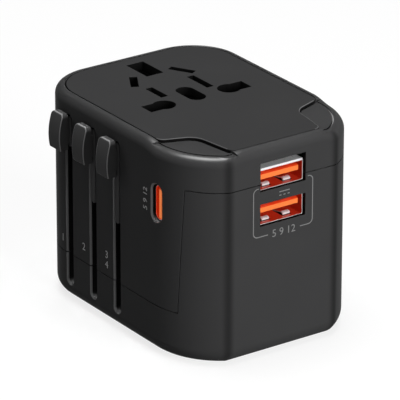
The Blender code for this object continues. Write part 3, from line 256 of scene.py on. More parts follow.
def softened(corners, steps=10):
    """A polygon of (point, radius) corners, each turned into an arc of its radius."""
    result = []
    points = [Vector(point) for point, radius in corners]
    for number, (_, radius) in enumerate(corners):
        point = points[number]
        back = (points[number - 1] - point).normalized()
        ahead = (points[(number + 1) % len(points)] - point).normalized()
        half_angle = back.angle(ahead) / 2
        centre = point + (back + ahead).normalized() * (radius / math.sin(half_angle))
        first = point + back * (radius / math.tan(half_angle)) - centre
        last = point + ahead * (radius / math.tan(half_angle)) - centre
        start = math.atan2(first.y, first.x)
        turn = (math.atan2(last.y, last.x) - start + math.pi) % (2 * math.pi) - math.pi
        result += arc(centre, radius, start, start + turn, steps)
    return result


def body_outline(inset=0.0):
    """The body seen from above: round back corners, and front corners that turn in two arcs."""
    sweep = FRONT_CORNER_SWEEP
    shares = [step / RIM_FALL_STEPS for step in range(RIM_FALL_STEPS + 1)]
    rising = [RIM_FALL_X[0] + (EDGE_CENTRE[0] - RIM_FALL_X[0]) * share for share in shares[:-1]]
    falling = [LONG_CENTRE[1] + (RIM_FALL_Y[1] - LONG_CENTRE[1]) * share for share in shares[1:]]
    right = (
        [(x, -HALF_DEPTH + inset) for x in rising]
        + arc(EDGE_CENTRE, FRONT_EDGE_RADIUS - inset, -QUARTER, -sweep, FRONT_EDGE_STEPS)
        + arc(LONG_CENTRE, FRONT_CORNER_RADIUS - inset, -sweep, 0, CORNER_STEPS)[1:]
        + [(HALF_WIDTH - inset, y) for y in falling]
        + arc(BACK_CENTRE, BACK_CORNER_RADIUS - inset, 0, QUARTER, CORNER_STEPS)
    )
    return right + mirrored(right)


def rim_height(x, y):
    """The rim's top: lower at the two front corners, with a smooth rise to the front and to the sides."""
    across = min(max((abs(x) - RIM_FALL_X[0]) / (RIM_FALL_X[1] - RIM_FALL_X[0]), 0), 1)
    along = min(max((RIM_FALL_Y[1] - y) / (RIM_FALL_Y[1] - RIM_FALL_Y[0]), 0), 1)
    share = across * across * (3 - 2 * across) * along * along * (3 - 2 * along)
    return RIM_TOP - LEDGE_DROP * share


LEDGE_CORNER = Vector((HALF_WIDTH - LEDGE_WIDTH, -HALF_DEPTH + LEDGE_LENGTH))
LEDGE_FRONT = Vector((-math.sin(LEDGE_FRONT_FLARE), -math.cos(LEDGE_FRONT_FLARE)))
LEDGE_OUT = Vector((math.cos(LEDGE_SIDE_FLARE), math.sin(LEDGE_SIDE_FLARE)))


def ledge_outline(side):
    """A front corner of the top that lies lower than the rim."""
    corner, front, out = LEDGE_CORNER, LEDGE_FRONT * FAR, LEDGE_OUT * FAR
    outline = [tuple(corner), tuple(corner + front), tuple(corner + front + out), tuple(corner + out)]
    return outline if side > 0 else mirrored(outline)


def plate_outline(grow=0.0):
    """The socket plate seen from above: inside the rim, with a notch at each front corner."""
    half_width = HALF_WIDTH - PLATE_MARGIN + grow
    half_depth = HALF_DEPTH - PLATE_MARGIN + grow
    half_angle = LEDGE_FRONT.angle(LEDGE_OUT) / 2
    corner = LEDGE_CORNER + (LEDGE_FRONT + LEDGE_OUT).normalized() * (grow / math.sin(half_angle))
    front_end = corner + LEDGE_FRONT * ((-half_depth - corner.y) / LEDGE_FRONT.y)
    side_end = corner + LEDGE_OUT * ((half_width - corner.x) / LEDGE_OUT.x)
    right = [
        (front_end, NOTCH_END_RADIUS + grow),
        (corner, LEDGE_RADIUS - grow),
        (side_end, NOTCH_END_RADIUS + grow),
        (Vector((half_width, half_depth)), BACK_CORNER_RADIUS - PLATE_MARGIN + grow),
    ]
    left = [(Vector((-point.x, point.y)), radius) for point, radius in reversed(right)]
    return softened(right + left, PLATE_ARC_STEPS)


def live_outline(side):
    """The hole for round and square live pins: a circle running out into a rectangle."""
    reach = math.asin(LIVE_HALF_WIDTH / LIVE_ROUND_RADIUS)
    outline = [(LIVE_OUTER_X, -LIVE_HALF_WIDTH), (LIVE_OUTER_X, LIVE_HALF_WIDTH)]
    outline += arc((LIVE_ROUND_X, 0), LIVE_ROUND_RADIUS, reach, 2 * math.pi - reach, LIVE_ROUND_STEPS)
    return outline if side > 0 else mirrored(outline)


def socket_outlines():
    holes = [moved(centred(EARTH_HOLE), 0, SOCKET_Y + EARTH_OFFSET)]
    holes.append(stadium(0, SOCKET_Y, SOCKET_Y + OVAL_LENGTH, OVAL_RADIUS))
    for side, length in ((-1, FLAT_SLOT_SHORT), (1, FLAT_SLOT_LONG)):
        holes.append(moved(live_outline(side), 0, SOCKET_Y))
        flat = centred((FLAT_SLOT_WIDTH, length))
        holes.append(moved(flat, side * FLAT_SLOT_X, SOCKET_Y + FLAT_SLOT_CENTRE))
        slant = turned_by(centred(SLANT_SLOT), side * SLANT_ANGLE)
        holes.append(moved(slant, side * SLANT_SLOT_X, SOCKET_Y + SLANT_SLOT_CENTRE))
    return holes


# Meshes

def lifted(outline, level, axis):
    """An outline in space: its plane is XY for axis Z, YZ for X and XZ for Y."""
    if axis == "Z":
        return [(x, y, level) for x, y in outline]
    if axis == "X":
        return [(level, x, y) for x, y in outline]
    return [(x, level, y) for x, y in outline]


def loft(sections, finish=lambda level, point: 0):
    """A closed solid through sections that have as many points each; finish picks each face's material."""
    mesh = bmesh.new()
    rings = [[mesh.verts.new(point) for point in section] for section in sections]
    mesh.faces.new(list(reversed(rings[0])))
    mesh.faces.new(rings[-1])
    for level, (lower, upper) in enumerate(zip(rings, rings[1:])):
        corners = zip(lower, lower[1:] + lower[:1], upper[1:] + upper[:1], upper)
        for point, corner in enumerate(corners):
            mesh.faces.new(corner).material_index = finish(level, point)
    bmesh.ops.recalc_face_normals(mesh, faces=mesh.faces)
    return mesh


def prism(outline, low, high, axis="Z"):
    return loft([lifted(outline, low, axis), lifted(outline, high, axis)])


def rounding(radius, steps=4):
    """(inset, depth) pairs of a quarter round, from the flat end face to the upright wall."""
    angles = [QUARTER * step / steps for step in range(steps + 1)]
    return [(radius * (1 - math.sin(a)), radius * (1 - math.cos(a))) for a in angles]


def rounded_prism(outline, low, high, axis="Z", low_edge=0.0, high_edge=0.0, finish=lambda level, point: 0):
    """An outline carried from low to high, with its end edges rounded over."""
    start = [(low + depth, inset) for inset, depth in rounding(low_edge)] if low_edge else [(low, 0)]
    end = [(high - depth, inset) for inset, depth in rounding(high_edge)] if high_edge else [(high, 0)]
    sections = start + list(reversed(end))
    return loft([lifted(grown(outline, -inset), level, axis) for level, inset in sections], finish)


def past_the_wall(level, point):
    """The second material for all but the first ring of faces."""
    return 1 if level > 0 else 0


def flared(outline, deep, surface, axis="Z", edge=0.0):
    """A cutter from deep inside to past a surface, which leaves a rounded edge where it comes through."""
    way = 1 if surface > deep else -1
    sections = [(deep, 0)]
    for step in range(FLARE_STEPS + 1):
        angle = FLARE_ANGLE * step / FLARE_STEPS
        sections.append((surface - way * edge * (1 - math.sin(angle)), edge * (1 - math.cos(angle))))
    level, grow = sections[-1]
    sections.append((level + way * FLARE_RISE, grow + FLARE_RISE * math.tan(FLARE_ANGLE)))
    return loft([lifted(grown(outline, grow), level, axis) for level, grow in sections], past_the_wall)


def chamfered(outline, deep, surface, axis, edge):
    """A cutter like flared, which leaves a flat chamfer."""
    way = 1 if surface > deep else -1
    sections = [(deep, 0), (surface - way * edge, 0), (surface + way * FLARE_RISE, edge + FLARE_RISE)]
    return loft([lifted(grown(outline, grow), level, axis) for level, grow in sections], past_the_wall)


def box(x, y, z):
    return prism(rectangle(*x, *y), *z)


def about(middle, width):
    return (middle - width / 2, middle + width / 2)


def made(name, mesh, *materials):
    data = bpy.data.meshes.new(name)
    mesh.to_mesh(data)
    mesh.free()
    for material in materials:
        data.materials.append(material)
    obj = bpy.data.objects.new(name, data)
    bpy.context.scene.collection.objects.link(obj)
    return obj


def settle(obj):
    """Turns the modifiers' result into the object's own mesh."""
    depsgraph = bpy.context.evaluated_depsgraph_get()
    mesh = bpy.data.meshes.new_from_object(obj.evaluated_get(depsgraph))
    obj.modifiers.clear()
    obj.data = mesh


def combine(obj, operation, meshes, *materials):
    """Cuts meshes from an object, adds them to it, or keeps what they share.

    Faces that come from the meshes take the materials, where any are given.
    """
    tools = [made(f"{obj.name}_tool", mesh, *materials) for mesh in meshes]
    for tool in tools:
        modifier = obj.modifiers.new("tool", "BOOLEAN")
        modifier.operation = operation
        modifier.object = tool
        modifier.solver = "EXACT"
        modifier.material_mode = "TRANSFER" if materials else "INDEX"
    settle(obj)
    for tool in tools:
        bpy.data.objects.remove(tool, do_unlink=True)


def copied(obj):
    """An object's mesh as a bmesh, after which the object goes."""
    mesh = bmesh.new()
    mesh.from_mesh(obj.data)
    bpy.data.objects.remove(obj, do_unlink=True)
    return mesh


def smooth(obj, degrees=35):
    obj.data.shade_smooth()
    obj.data.set_sharp_from_angle(angle=math.radians(degrees))
    normals = obj.modifiers.new("normals", "WEIGHTED_NORMAL")
    normals.keep_sharp = True


def dress(obj, slot, body, *nodes):
    """Gives a new piece the body it rides on and the CAD nodes it stands for; slot is not used."""
    smooth(obj)
    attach(obj, body)
    if nodes:
        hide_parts(*nodes)


# Materials

# Painted shade along the two upright edges beside the front face: how far it reaches, and how dark it makes
# the colour
CREASE_SHADE_REACH = 2.0 * MM
CREASE_SHADE_TONE = 0.5
SLOW_SCALE = 60.0
DARK_TONE = 0.92
LIGHT_TONE = 1.08
GLOSS_SPREAD = 0.04
FINE_GRAIN = 0.22 * MM
INNER_GRAIN = 0.3 * MM
PRINT_GRAIN = 0.15 * MM
GRAIN_DETAIL = 3.0
GRAIN_STRENGTH = 0.35
GRAIN_DEPTH = 0.02 * MM
BRUSH_SCALE = 4000.0
BRUSH_DETAIL = 3.0
BRUSH_DARK = 0.85
BRUSH_GLOSS = (0.7, 1.3)
BRUSH_STRENGTH = 0.15
BRUSH_DEPTH = 0.01 * MM


def node_material(name):
    material = bpy.data.materials.new(name)
    material.use_nodes = True
    tree = material.node_tree
    return material, tree, tree.nodes["Principled BSDF"]


def noise(tree, scale, detail=2.0):
    """Noise fixed to the piece, so that it moves with it."""
    place = tree.nodes.new("ShaderNodeTexCoord")
    texture = tree.nodes.new("ShaderNodeTexNoise")
    texture.inputs["Scale"].default_value = scale
    texture.inputs["Detail"].default_value = detail
    tree.links.new(place.outputs["Object"], texture.inputs["Vector"])
    return texture


def ramp(tree, value, low, high):
    """A value from 0 to 1 spread from one colour or number to another."""
    node = tree.nodes.new("ShaderNodeMapRange")
    node.inputs["To Min"].default_value = low
    node.inputs["To Max"].default_value = high
    tree.links.new(value, node.inputs["Value"])
    return node.outputs["Result"]


def tinted(tree, value, dark, light):
    node = tree.nodes.new("ShaderNodeMix")
    node.data_type = "RGBA"
    node.inputs["A"].default_value = (*dark, 1)
    node.inputs["B"].default_value = (*light, 1)
    tree.links.new(value, node.inputs["Factor"])
    return node.outputs["Result"]


def bump(tree, shader, height, strength, distance):
    node = tree.nodes.new("ShaderNodeBump")
    node.inputs["Strength"].default_value = strength
    node.inputs["Distance"].default_value = distance
    tree.links.new(height, node.inputs["Height"])
    tree.links.new(node.outputs["Normal"], shader.inputs["Normal"])


def crease_shade_mask(tree):
    """1 on the two upright edges beside the front face, fading to 0 a little way off: where the painted
    crease shade goes.
    """
    angle = (QUARTER + FRONT_CORNER_SWEEP) / 2
    x = EDGE_CENTRE[0] + FRONT_EDGE_RADIUS * math.cos(angle)
    y = EDGE_CENTRE[1] - FRONT_EDGE_RADIUS * math.sin(angle)
    place = tree.nodes.new("ShaderNodeTexCoord")
    level = tree.nodes.new("ShaderNodeVectorMath")
    level.operation = "MULTIPLY"
    level.inputs[1].default_value = (1, 1, 0)
    tree.links.new(place.outputs["Object"], level.inputs[0])
    nearest = tree.nodes.new("ShaderNodeMath")
    nearest.operation = "MINIMUM"
    for number, side in enumerate((-1, 1)):
        distance = tree.nodes.new("ShaderNodeVectorMath")
        distance.operation = "DISTANCE"
        distance.inputs[1].default_value = (side * x, y, 0)
        tree.links.new(level.outputs["Vector"], distance.inputs[0])
        tree.links.new(distance.outputs["Value"], nearest.inputs[number])
    fade = tree.nodes.new("ShaderNodeMapRange")
    fade.interpolation_type = "SMOOTHSTEP"
    fade.inputs["From Max"].default_value = CREASE_SHADE_REACH
    fade.inputs["To Min"].default_value = 1.0
    fade.inputs["To Max"].default_value = 0.0
    tree.links.new(nearest.outputs["Value"], fade.inputs["Value"])
    return fade.outputs["Result"]


def plastic(name, colour, roughness, grain, specular=0.5, painted_crease=False):
    """Moulded plastic: a fine texture from the mould, and slow changes in tone and gloss.

    painted_crease paints shade on the two upright edges beside the front face.
    """
    material, tree, shader = node_material(name)
    shader.inputs["Specular IOR Level"].default_value = specular
    slow = noise(tree, SLOW_SCALE).outputs["Fac"]
    light = tuple(channel * LIGHT_TONE for channel in colour)
    dark = tuple(channel * DARK_TONE for channel in colour)
    tone = tinted(tree, slow, dark, light)
    # Painted shade on the crease beside the front face
    if painted_crease:
        crease_shadow_colour = tuple(channel * CREASE_SHADE_TONE for channel in colour)
        crease_shaded = tinted(tree, crease_shade_mask(tree), colour, crease_shadow_colour)
        tree.links.new(tone, crease_shaded.node.inputs["A"])
        tone = crease_shaded
    tree.links.new(tone, shader.inputs["Base Color"])
    gloss = ramp(tree, slow, roughness - GLOSS_SPREAD, roughness + GLOSS_SPREAD)
    tree.links.new(gloss, shader.inputs["Roughness"])
    bump(tree, shader, noise(tree, 1 / grain, GRAIN_DETAIL).outputs["Fac"], GRAIN_STRENGTH, GRAIN_DEPTH)
    return material


def metal(name, colour, roughness, brushing=(1.0, 1.0, 1.0), metallic=1.0):
    """Bare or plated metal with fine brush marks, drawn out along the axis with the small number."""
    material, tree, shader = node_material(name)
    shader.inputs["Metallic"].default_value = metallic
    texture = noise(tree, BRUSH_SCALE, BRUSH_DETAIL)
    stretch = tree.nodes.new("ShaderNodeMapping")
    stretch.inputs["Scale"].default_value = brushing
    place = texture.inputs["Vector"].links[0].from_socket
    tree.links.new(place, stretch.inputs["Vector"])
    tree.links.new(stretch.outputs["Vector"], texture.inputs["Vector"])
    value = texture.outputs["Fac"]
    dark = tuple(channel * BRUSH_DARK for channel in colour)
    tree.links.new(tinted(tree, value, dark, colour), shader.inputs["Base Color"])
    gloss = ramp(tree, value, roughness * BRUSH_GLOSS[0], roughness * BRUSH_GLOSS[1])
    tree.links.new(gloss, shader.inputs["Roughness"])
    bump(tree, shader, value, BRUSH_STRENGTH, BRUSH_DEPTH)
    return material


CASE = plastic("case_plastic", (0.049, 0.049, 0.0497), 0.36, FINE_GRAIN, 0.002, painted_crease=True)
PLATE = plastic("socket_plastic", (0.046, 0.046, 0.0467), 0.45, FINE_GRAIN, 0.003)
# A light grey on the notches' rounded edges: a painted highlight
NOTCH_HIGHLIGHT = plastic("notch_painted_highlight", (0.13, 0.13, 0.132), 0.35, FINE_GRAIN, 0.04)
# Lighter than the case plastic: painted light standing in for the front lamp, which leaves the knobs out
LIT_KNOB_PLASTIC = plastic("knob_plastic_painted_light", (0.1, 0.1, 0.101), 0.36, FINE_GRAIN, 0.003)
# Lighter rounded edges of the slots and of the USB-C port: a painted highlight
EDGE_HIGHLIGHT = plastic("painted_edge_highlight", (0.18, 0.18, 0.182), 0.35, FINE_GRAIN, 0.003)
# A light grey on the edges round each knob's outer face: a painted highlight
KNOB_HIGHLIGHT = plastic("knob_painted_highlight", (0.42, 0.42, 0.424), 0.35, FINE_GRAIN, 0.003)
# Black for the black inner parts, and painted shade on the walls of slots, holes, grooves and gaps
BLACK_AND_HOLE_SHADE = plastic("inner_plastic", (0.0065, 0.0065, 0.0065), 0.7, INNER_GRAIN, 0.02)
GREY = plastic("carriage_plastic", (0.048, 0.048, 0.049), 0.5, INNER_GRAIN, 0.3)
ORANGE = plastic("port_plastic", (1.0, 0.235, 0.055), 0.4, INNER_GRAIN, 0.15)
# A shaded copy of the orange: painted shade on the tongues' tops, and a painted reflection inside the USB-C
# tube
DEEP = plastic("port_plastic_shade", (1.0, 0.075, 0.014), 0.35, INNER_GRAIN, 0.3)
# Red on the steel inside the USB-A shells: a painted reflection of the orange insert
ORANGE_REFLECTION = plastic("painted_orange_reflection", (0.78, 0.05, 0.016), 0.3, INNER_GRAIN, 0.4)
# Steel that is mostly diffuse near-white, a painted shine that shows white like a reflection
STEEL_PAINTED_SHINE = metal("port_steel", (0.95, 0.95, 0.96), 0.3, (1, 0.08, 1), metallic=0.25)
NICKEL = metal("pin_nickel", (0.78, 0.76, 0.72), 0.24, (1, 1, 0.06))
BRASS = metal("contact_brass", (0.80, 0.58, 0.26), 0.3)
ZINC = metal("screw_zinc", (0.45, 0.45, 0.46), 0.35)
BOARD = plastic("circuit_board", (0.02, 0.14, 0.05), 0.4, 0.4 * MM)
TAPE = plastic("transformer_tape", (0.70, 0.48, 0.06), 0.35, 0.8 * MM)
CAN = metal("capacitor_can", (0.6, 0.61, 0.63), 0.3)
CERAMIC = plastic("fuse_tube", (0.75, 0.75, 0.73), 0.25, 0.5 * MM)
PRINT = plastic("grey_print", (0.21, 0.21, 0.21), 0.6, PRINT_GRAIN, 0.1)
PALE_PRINT = plastic("pale_print", (0.52, 0.52, 0.52), 0.6, PRINT_GRAIN, 0.1)

CAD_FINISH = {
    "contact_block": BLACK_AND_HOLE_SHADE, "line_contact": BRASS, "neutral_contact": BRASS, "earth_contact": BRASS,
    "main_pcb": BOARD, "transformer": TAPE, "input_capacitor": CAN, "output_capacitor": CAN,
    "fuse": CERAMIC, "fuse_clip": BRASS, "socket_screw": ZINC, "housing_screw": ZINC,
    "eu_carriage": GREY, "uk_carriage": GREY, "us_carriage": GREY, "us_turret": BLACK_AND_HOLE_SHADE,
    "eu_sleeve": BLACK_AND_HOLE_SHADE, "eu_pin": NICKEL, "uk_pin": NICKEL, "us_blade": NICKEL,
}


def finish_of(node):
    """The material of a CAD node, found by how its name begins; none for nodes that scene pieces replace."""
    if node.endswith("_sleeve"):
        return BLACK_AND_HOLE_SHADE
    fitting = [name for name in CAD_FINISH if node.startswith(name)]
    return CAD_FINISH[max(fitting, key=len)] if fitting else None


def paint_frame():
    """Procedural materials on the CAD nodes that stay."""
    for name, obj in NODES.items():
        material = finish_of(name)
        if material is None:
            continue
        for slot in obj.material_slots:
            slot.material = material


# Housings

def body_blank():
    """The whole body as one block, with its top and bottom edges rounded over."""
    rings = []
    for inset, depth in rounding(BOTTOM_FILLET, BOTTOM_FILLET_STEPS):
        rings.append(lifted(body_outline(inset), depth, "Z"))
    for inset, depth in reversed(rounding(TOP_FILLET, TOP_FILLET_STEPS)):
        rings.append([(x, y, rim_height(x, y) - depth) for x, y in body_outline(inset)])
    return loft(rings)


def split_region(above):
    """Everything above, or everything below, the parting line, half a gap away from it."""
    gap = SEAM_GAP / 2 if above else -SEAM_GAP / 2
    line = [
        (FAR, LOWER_SEAM + gap),
        (-HALF_DEPTH + PANEL_DEPTH_LOW + gap, LOWER_SEAM + gap),
        (-HALF_DEPTH + PANEL_DEPTH_HIGH + gap, UPPER_SEAM + gap),
        (-FAR, UPPER_SEAM + gap),
    ]
    end = FAR if above else -FAR
    return prism(line + [(-FAR, end), (FAR, end)], -FAR, FAR, "X")


def ledge_cutter(side):
    return prism(ledge_outline(side), LEDGE_TOP, RIM_TOP + OVERCUT)


def groove_cutter(side):
    """A narrow groove along the outer edge of a lowered corner, in line with the gap round the plate."""
    obj = made("groove", prism(body_outline(PLATE_MARGIN - PLATE_GAP), LEDGE_TOP - GROOVE_DEPTH, RIM_TOP))
    inner = body_outline(PLATE_MARGIN - PLATE_GAP + GROOVE_WIDTH)
    combine(obj, "DIFFERENCE", [prism(inner, LEDGE_TOP - 2 * GROOVE_DEPTH, RIM_TOP + OVERCUT)])
    combine(obj, "INTERSECT", [prism(ledge_outline(side), LEDGE_TOP - 2 * GROOVE_DEPTH, RIM_TOP + OVERCUT)])
    return copied(obj)


def slot_cutters():
    radius = SLOT_WIDTH / 2
    outlines = [stadium(y, SLOT_BOTTOM + radius, SLOT_TOP - radius, radius) for y in SLIDERS.values()]
    inside = -HALF_WIDTH + WALL + CLEARANCE
    return [chamfered(outline, inside, -HALF_WIDTH, "X", SLOT_EDGE) for outline in outlines]


def usb_a_cutters():
    """For each USB-A port a window in the front lip, and a pocket behind the lip for the metal shell."""
    cutters = []
    lip_back = -HALF_DEPTH + PORT_LIP
    ports = (("lower", LOWER_PORT_BOTTOM, PORT_HEIGHT), ("upper", UPPER_PORT_BOTTOM, UPPER_PORT_HEIGHT))
    for word, bottom, height in ports:
        low, high = shell_box(word)
        window = rectangle(*about(0, PORT_WIDTH), bottom, bottom + height)
        cutters.append(flared(window, lip_back + CLEARANCE, -HALF_DEPTH, "Y", PORT_EDGE))
        top = max(high.z + CLEARANCE, bottom + height)
        half_room = max(high.x + CLEARANCE, PORT_WIDTH / 2)
        room = ((-half_room, half_room), (lip_back, -HALF_DEPTH + 2 * WALL), (low.z - CLEARANCE, top))
        cutters.append(box(*room))
    return cutters


def usb_c_cutter():
    low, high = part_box("usb_c_shell")
    radius = (high.y - low.y) / 2
    outline = stadium((low.y + high.y) / 2, low.z + radius, high.z - radius, radius + CLEARANCE)
    return chamfered(outline, -HALF_WIDTH + 3 * WALL, -HALF_WIDTH + USB_C_SET_IN, "X", USB_C_EDGE)


def screw_places():
    return [(side * (HALF_WIDTH - SCREW_INSET), HALF_DEPTH - SCREW_INSET) for side in (-1, 1)]


def upper_housing():
    ring_top = PLATE_TOP - PLATE_THICKNESS - CLEARANCE
    ring_bottom = ring_top - RING_THICKNESS
    obj = made("upper_housing_skin", body_blank(), CASE)
    combine(obj, "INTERSECT", [split_region(True)])
    opening = prism(plate_outline(-RING_WIDTH), ring_bottom - WALL, ring_top + WALL)
    recess = flared(plate_outline(PLATE_GAP), ring_top, RIM_TOP, edge=RIM_EDGE)
    cavity = prism(body_outline(WALL), FLOOR, ring_bottom)
    combine(obj, "DIFFERENCE", [cavity, ledge_cutter(-1), ledge_cutter(1), opening])
    # The walls of the gap round the plate and of the grooves are black: painted shade
    combine(obj, "DIFFERENCE", [recess, groove_cutter(-1), groove_cutter(1)], BLACK_AND_HOLE_SHADE, CASE)
    posts = [prism(circle(x, y, SCREW_POST), LOWER_SEAM + CLEARANCE, ring_bottom + CLEARANCE)
             for x, y in screw_places()]
    combine(obj, "UNION", posts)
    threads = [prism(circle(x, y, SCREW_SHANK), LOWER_SEAM, SCREW_END) for x, y in screw_places()]
    combine(obj, "DIFFERENCE", threads)
    # Slot and port walls are black, painted shade, and their rounded edges carry a painted highlight
    combine(obj, "DIFFERENCE", slot_cutters() + [usb_c_cutter()], BLACK_AND_HOLE_SHADE, EDGE_HIGHLIGHT)
    # The USB-A windows and pockets are black inside: painted shade
    combine(obj, "DIFFERENCE", usb_a_cutters(), BLACK_AND_HOLE_SHADE, CASE)
    dress(obj, "case_plastic", "body", "upper_housing")


def base_cutters():
    """Flared holes for the plug pins, and bores for the two screws."""
    outlines = []
    for side in (-1, 1):
        outlines.append(circle(side * EU_HOLE[0], EU_HOLE[1], EU_HOLE[2]))
        outlines.append(moved(centred(UK_HOLE), side * UK_HOLE_X, SOCKET_Y))
        outlines.append(circle(side * US_HOLE[0], US_HOLE[1], US_HOLE[2]))
    outlines.append(moved(centred(UK_EARTH_HOLE), 0, SOCKET_Y + EARTH_OFFSET))
    cutters = [flared(outline, 2 * FLOOR, 0, edge=BASE_HOLE_EDGE) for outline in outlines]
    for x, y in screw_places():
        cutters.append(flared(circle(x, y, SCREW_BORE), SCREW_SEAT, 0, edge=BASE_HOLE_EDGE))
        cutters.append(prism(circle(x, y, SCREW_SHANK), FLOOR, LOWER_SEAM))
    return cutters


def lower_housing():
    obj = made("lower_housing_skin", body_blank(), CASE)
    combine(obj, "INTERSECT", [split_region(False)])
    combine(obj, "DIFFERENCE", [prism(body_outline(WALL), FLOOR, RIM_TOP - WALL)])
    bosses = [prism(circle(x, y, SCREW_BOSS), FLOOR - CLEARANCE, LOWER_SEAM - CLEARANCE)
              for x, y in screw_places()]
    combine(obj, "UNION", bosses)
    combine(obj, "DIFFERENCE", base_cutters())
    # Slot walls are black, painted shade, and their rounded edges carry a painted highlight
    combine(obj, "DIFFERENCE", slot_cutters(), BLACK_AND_HOLE_SHADE, EDGE_HIGHLIGHT)
    # The USB-A windows and pockets are black inside: painted shade
    combine(obj, "DIFFERENCE", usb_a_cutters(), BLACK_AND_HOLE_SHADE, CASE)
    dress(obj, "case_plastic", "body", "lower_housing")


def plate_finish(level, point):
    """Walls in painted shade, and a painted highlight on the edges along the two notches."""
    if level == 0:
        return 2
    corner = point // (PLATE_ARC_STEPS + 1)
    return 1 if corner in NOTCH_CORNERS else 0


def socket_plate():
    bottom = PLATE_TOP - PLATE_THICKNESS
    form = rounded_prism(plate_outline(), bottom, PLATE_TOP, high_edge=PLATE_EDGE, finish=plate_finish)
    obj = made("socket_plate_skin", form, PLATE, NOTCH_HIGHLIGHT, BLACK_AND_HOLE_SHADE)
    bottom -= PLATE_THICKNESS
    holes = [flared(hole, bottom, PLATE_TOP, edge=HOLE_EDGE) for hole in socket_outlines()]
    # The holes' walls are black: painted shade
    combine(obj, "DIFFERENCE", holes, BLACK_AND_HOLE_SHADE, PLATE)
    dress(obj, "socket_plastic", "body", "socket_plate")


# Sliders

def end_inset(distance, radius):
    """How far a rounded end draws in at a distance from its tip."""
    if distance >= radius:
        return 0.0
    return radius - math.sqrt(radius * radius - (radius - distance) ** 2)


def knob_section(slot_y, z):
    """A knob cut level at z: a block with a bulging outer face and two rounded edges."""
    share = (z - KNOB_BOTTOM) / KNOB_HEIGHT
    low, middle, high = KNOB_PROUD
    # A parabola through its values at the bottom, in the middle and at the top
    proud = (
        low * (1 - share) * (1 - 2 * share)
        + 4 * middle * share * (1 - share)
        + high * share * (2 * share - 1)
    )
    above_bottom, below_top = z - KNOB_BOTTOM, KNOB_BOTTOM + KNOB_HEIGHT - z
    face = proud - end_inset(above_bottom, KNOB_EDGE) - end_inset(below_top, 2 * KNOB_EDGE)
    side = end_inset(above_bottom, 2 * KNOB_EDGE) + end_inset(below_top, KNOB_TOP_RADIUS)
    outer, inner = -HALF_WIDTH - face, -HALF_WIDTH - CLEARANCE
    low_y = slot_y - KNOB_PAST_SLOT + side
    high_y = slot_y - KNOB_PAST_SLOT + KNOB_WIDTH - side
    edge = KNOB_EDGE
    outline = [(inner, low_y), (inner, high_y)]
    outline += arc((outer + edge, high_y - edge), edge, QUARTER, 2 * QUARTER, KNOB_EDGE_STEPS)
    outline += arc((outer + edge, low_y + edge), edge, 2 * QUARTER, 3 * QUARTER, KNOB_EDGE_STEPS)
    return lifted(outline, z, "Z")


def on_knob_edge(level, point):
    """The second material, a painted highlight, for the edges round a knob's outer face.

    Faces run round a section: the back, a side, an edge, the outer face, the other edge and the other side.
    """
    on_face = point == 2 + KNOB_EDGE_STEPS
    at_end = level < KNOB_END_LEVELS or level >= len(knob_levels()) - 1 - KNOB_END_LEVELS
    return 1 if 1 < point < 3 + 2 * KNOB_EDGE_STEPS and (at_end or not on_face) else 0


def knob_levels():
    """Heights of the sections, close together at both rounded ends."""
    def end_depths(radius, steps):
        return [radius * (1 - math.cos(QUARTER * step / steps)) for step in range(steps + 1)]

    ends = end_depths(KNOB_EDGE * 2, KNOB_BOTTOM_STEPS)
    tops = end_depths(KNOB_TOP_RADIUS, KNOB_TOP_STEPS)
    top = KNOB_BOTTOM + KNOB_HEIGHT
    first, last = KNOB_BOTTOM + ends[-1], top - tops[-1]
    steps = range(1, KNOB_MIDDLE_STEPS)
    middle = [first + (last - first) * step / KNOB_MIDDLE_STEPS for step in steps]
    return [KNOB_BOTTOM + end for end in ends] + middle + [top - end for end in reversed(tops)]


def knob(word, slot_y):
    """A knob with its stem, which fills the slot behind it, and a neck that joins the two."""
    half = SLOT_WIDTH / 2 - CLEARANCE
    stem_top = SLOT_TOP - CLEARANCE
    sections = [knob_section(slot_y, z) for z in knob_levels()]
    obj = made(f"{word}_knob_skin", loft(sections, on_knob_edge), LIT_KNOB_PLASTIC, KNOB_HIGHLIGHT)
    stem = stadium(slot_y, STEM_BOTTOM[word] + half, stem_top - half, half)
    neck = rectangle(slot_y - KNOB_PAST_SLOT / 2, slot_y + half, KNOB_BOTTOM + 2 * half, stem_top - 2 * half)
    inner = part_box(f"{word}_knob")[1].x
    neck_mesh = prism(neck, -HALF_WIDTH - 2 * CLEARANCE, -HALF_WIDTH + WALL / 2, "X")
    stem_mesh = rounded_prism(stem, -HALF_WIDTH + STEM_SINK, inner, "X", low_edge=KNOB_EDGE / 2)
    combine(obj, "UNION", [neck_mesh, stem_mesh])
    dress(obj, "case_plastic", f"{word}_slider", f"{word}_knob")


# USB ports

SHELL_LOWER = 0.35 * MM
SHELL_RADIUS = 0.7 * MM
SHELL_EDGE = SHEET / 3
SIDE_SHEET = 0.2 * MM
HEM_HEIGHT = {"upper": 0.64 * MM, "lower": 0.4 * MM}
HEM_DEPTH = 0.9 * MM
FLANGE_GAP = 0.1 * MM
FLANGE_DEPTH = 3.2 * MM
TAB_X = 3.04 * MM
TAB_WIDTH = 2.1 * MM
TAB_TIP = 1.6 * MM
TAB_ROOT = 7.0 * MM
# A spring tab from the side, in mm: how far behind the shell's front, and how far in from its wall
TAB_PROFILE = (
    (7.0, 0.0), (5.0, 0.15), (3.4, 0.5), (2.5, 0.72), (1.9, 0.68), (1.6, 0.5), (1.6, 0.08),
    (1.85, 0.08), (1.95, 0.35), (2.5, 0.42), (3.4, 0.2), (5.0, -0.15), (7.0, -0.3),
)
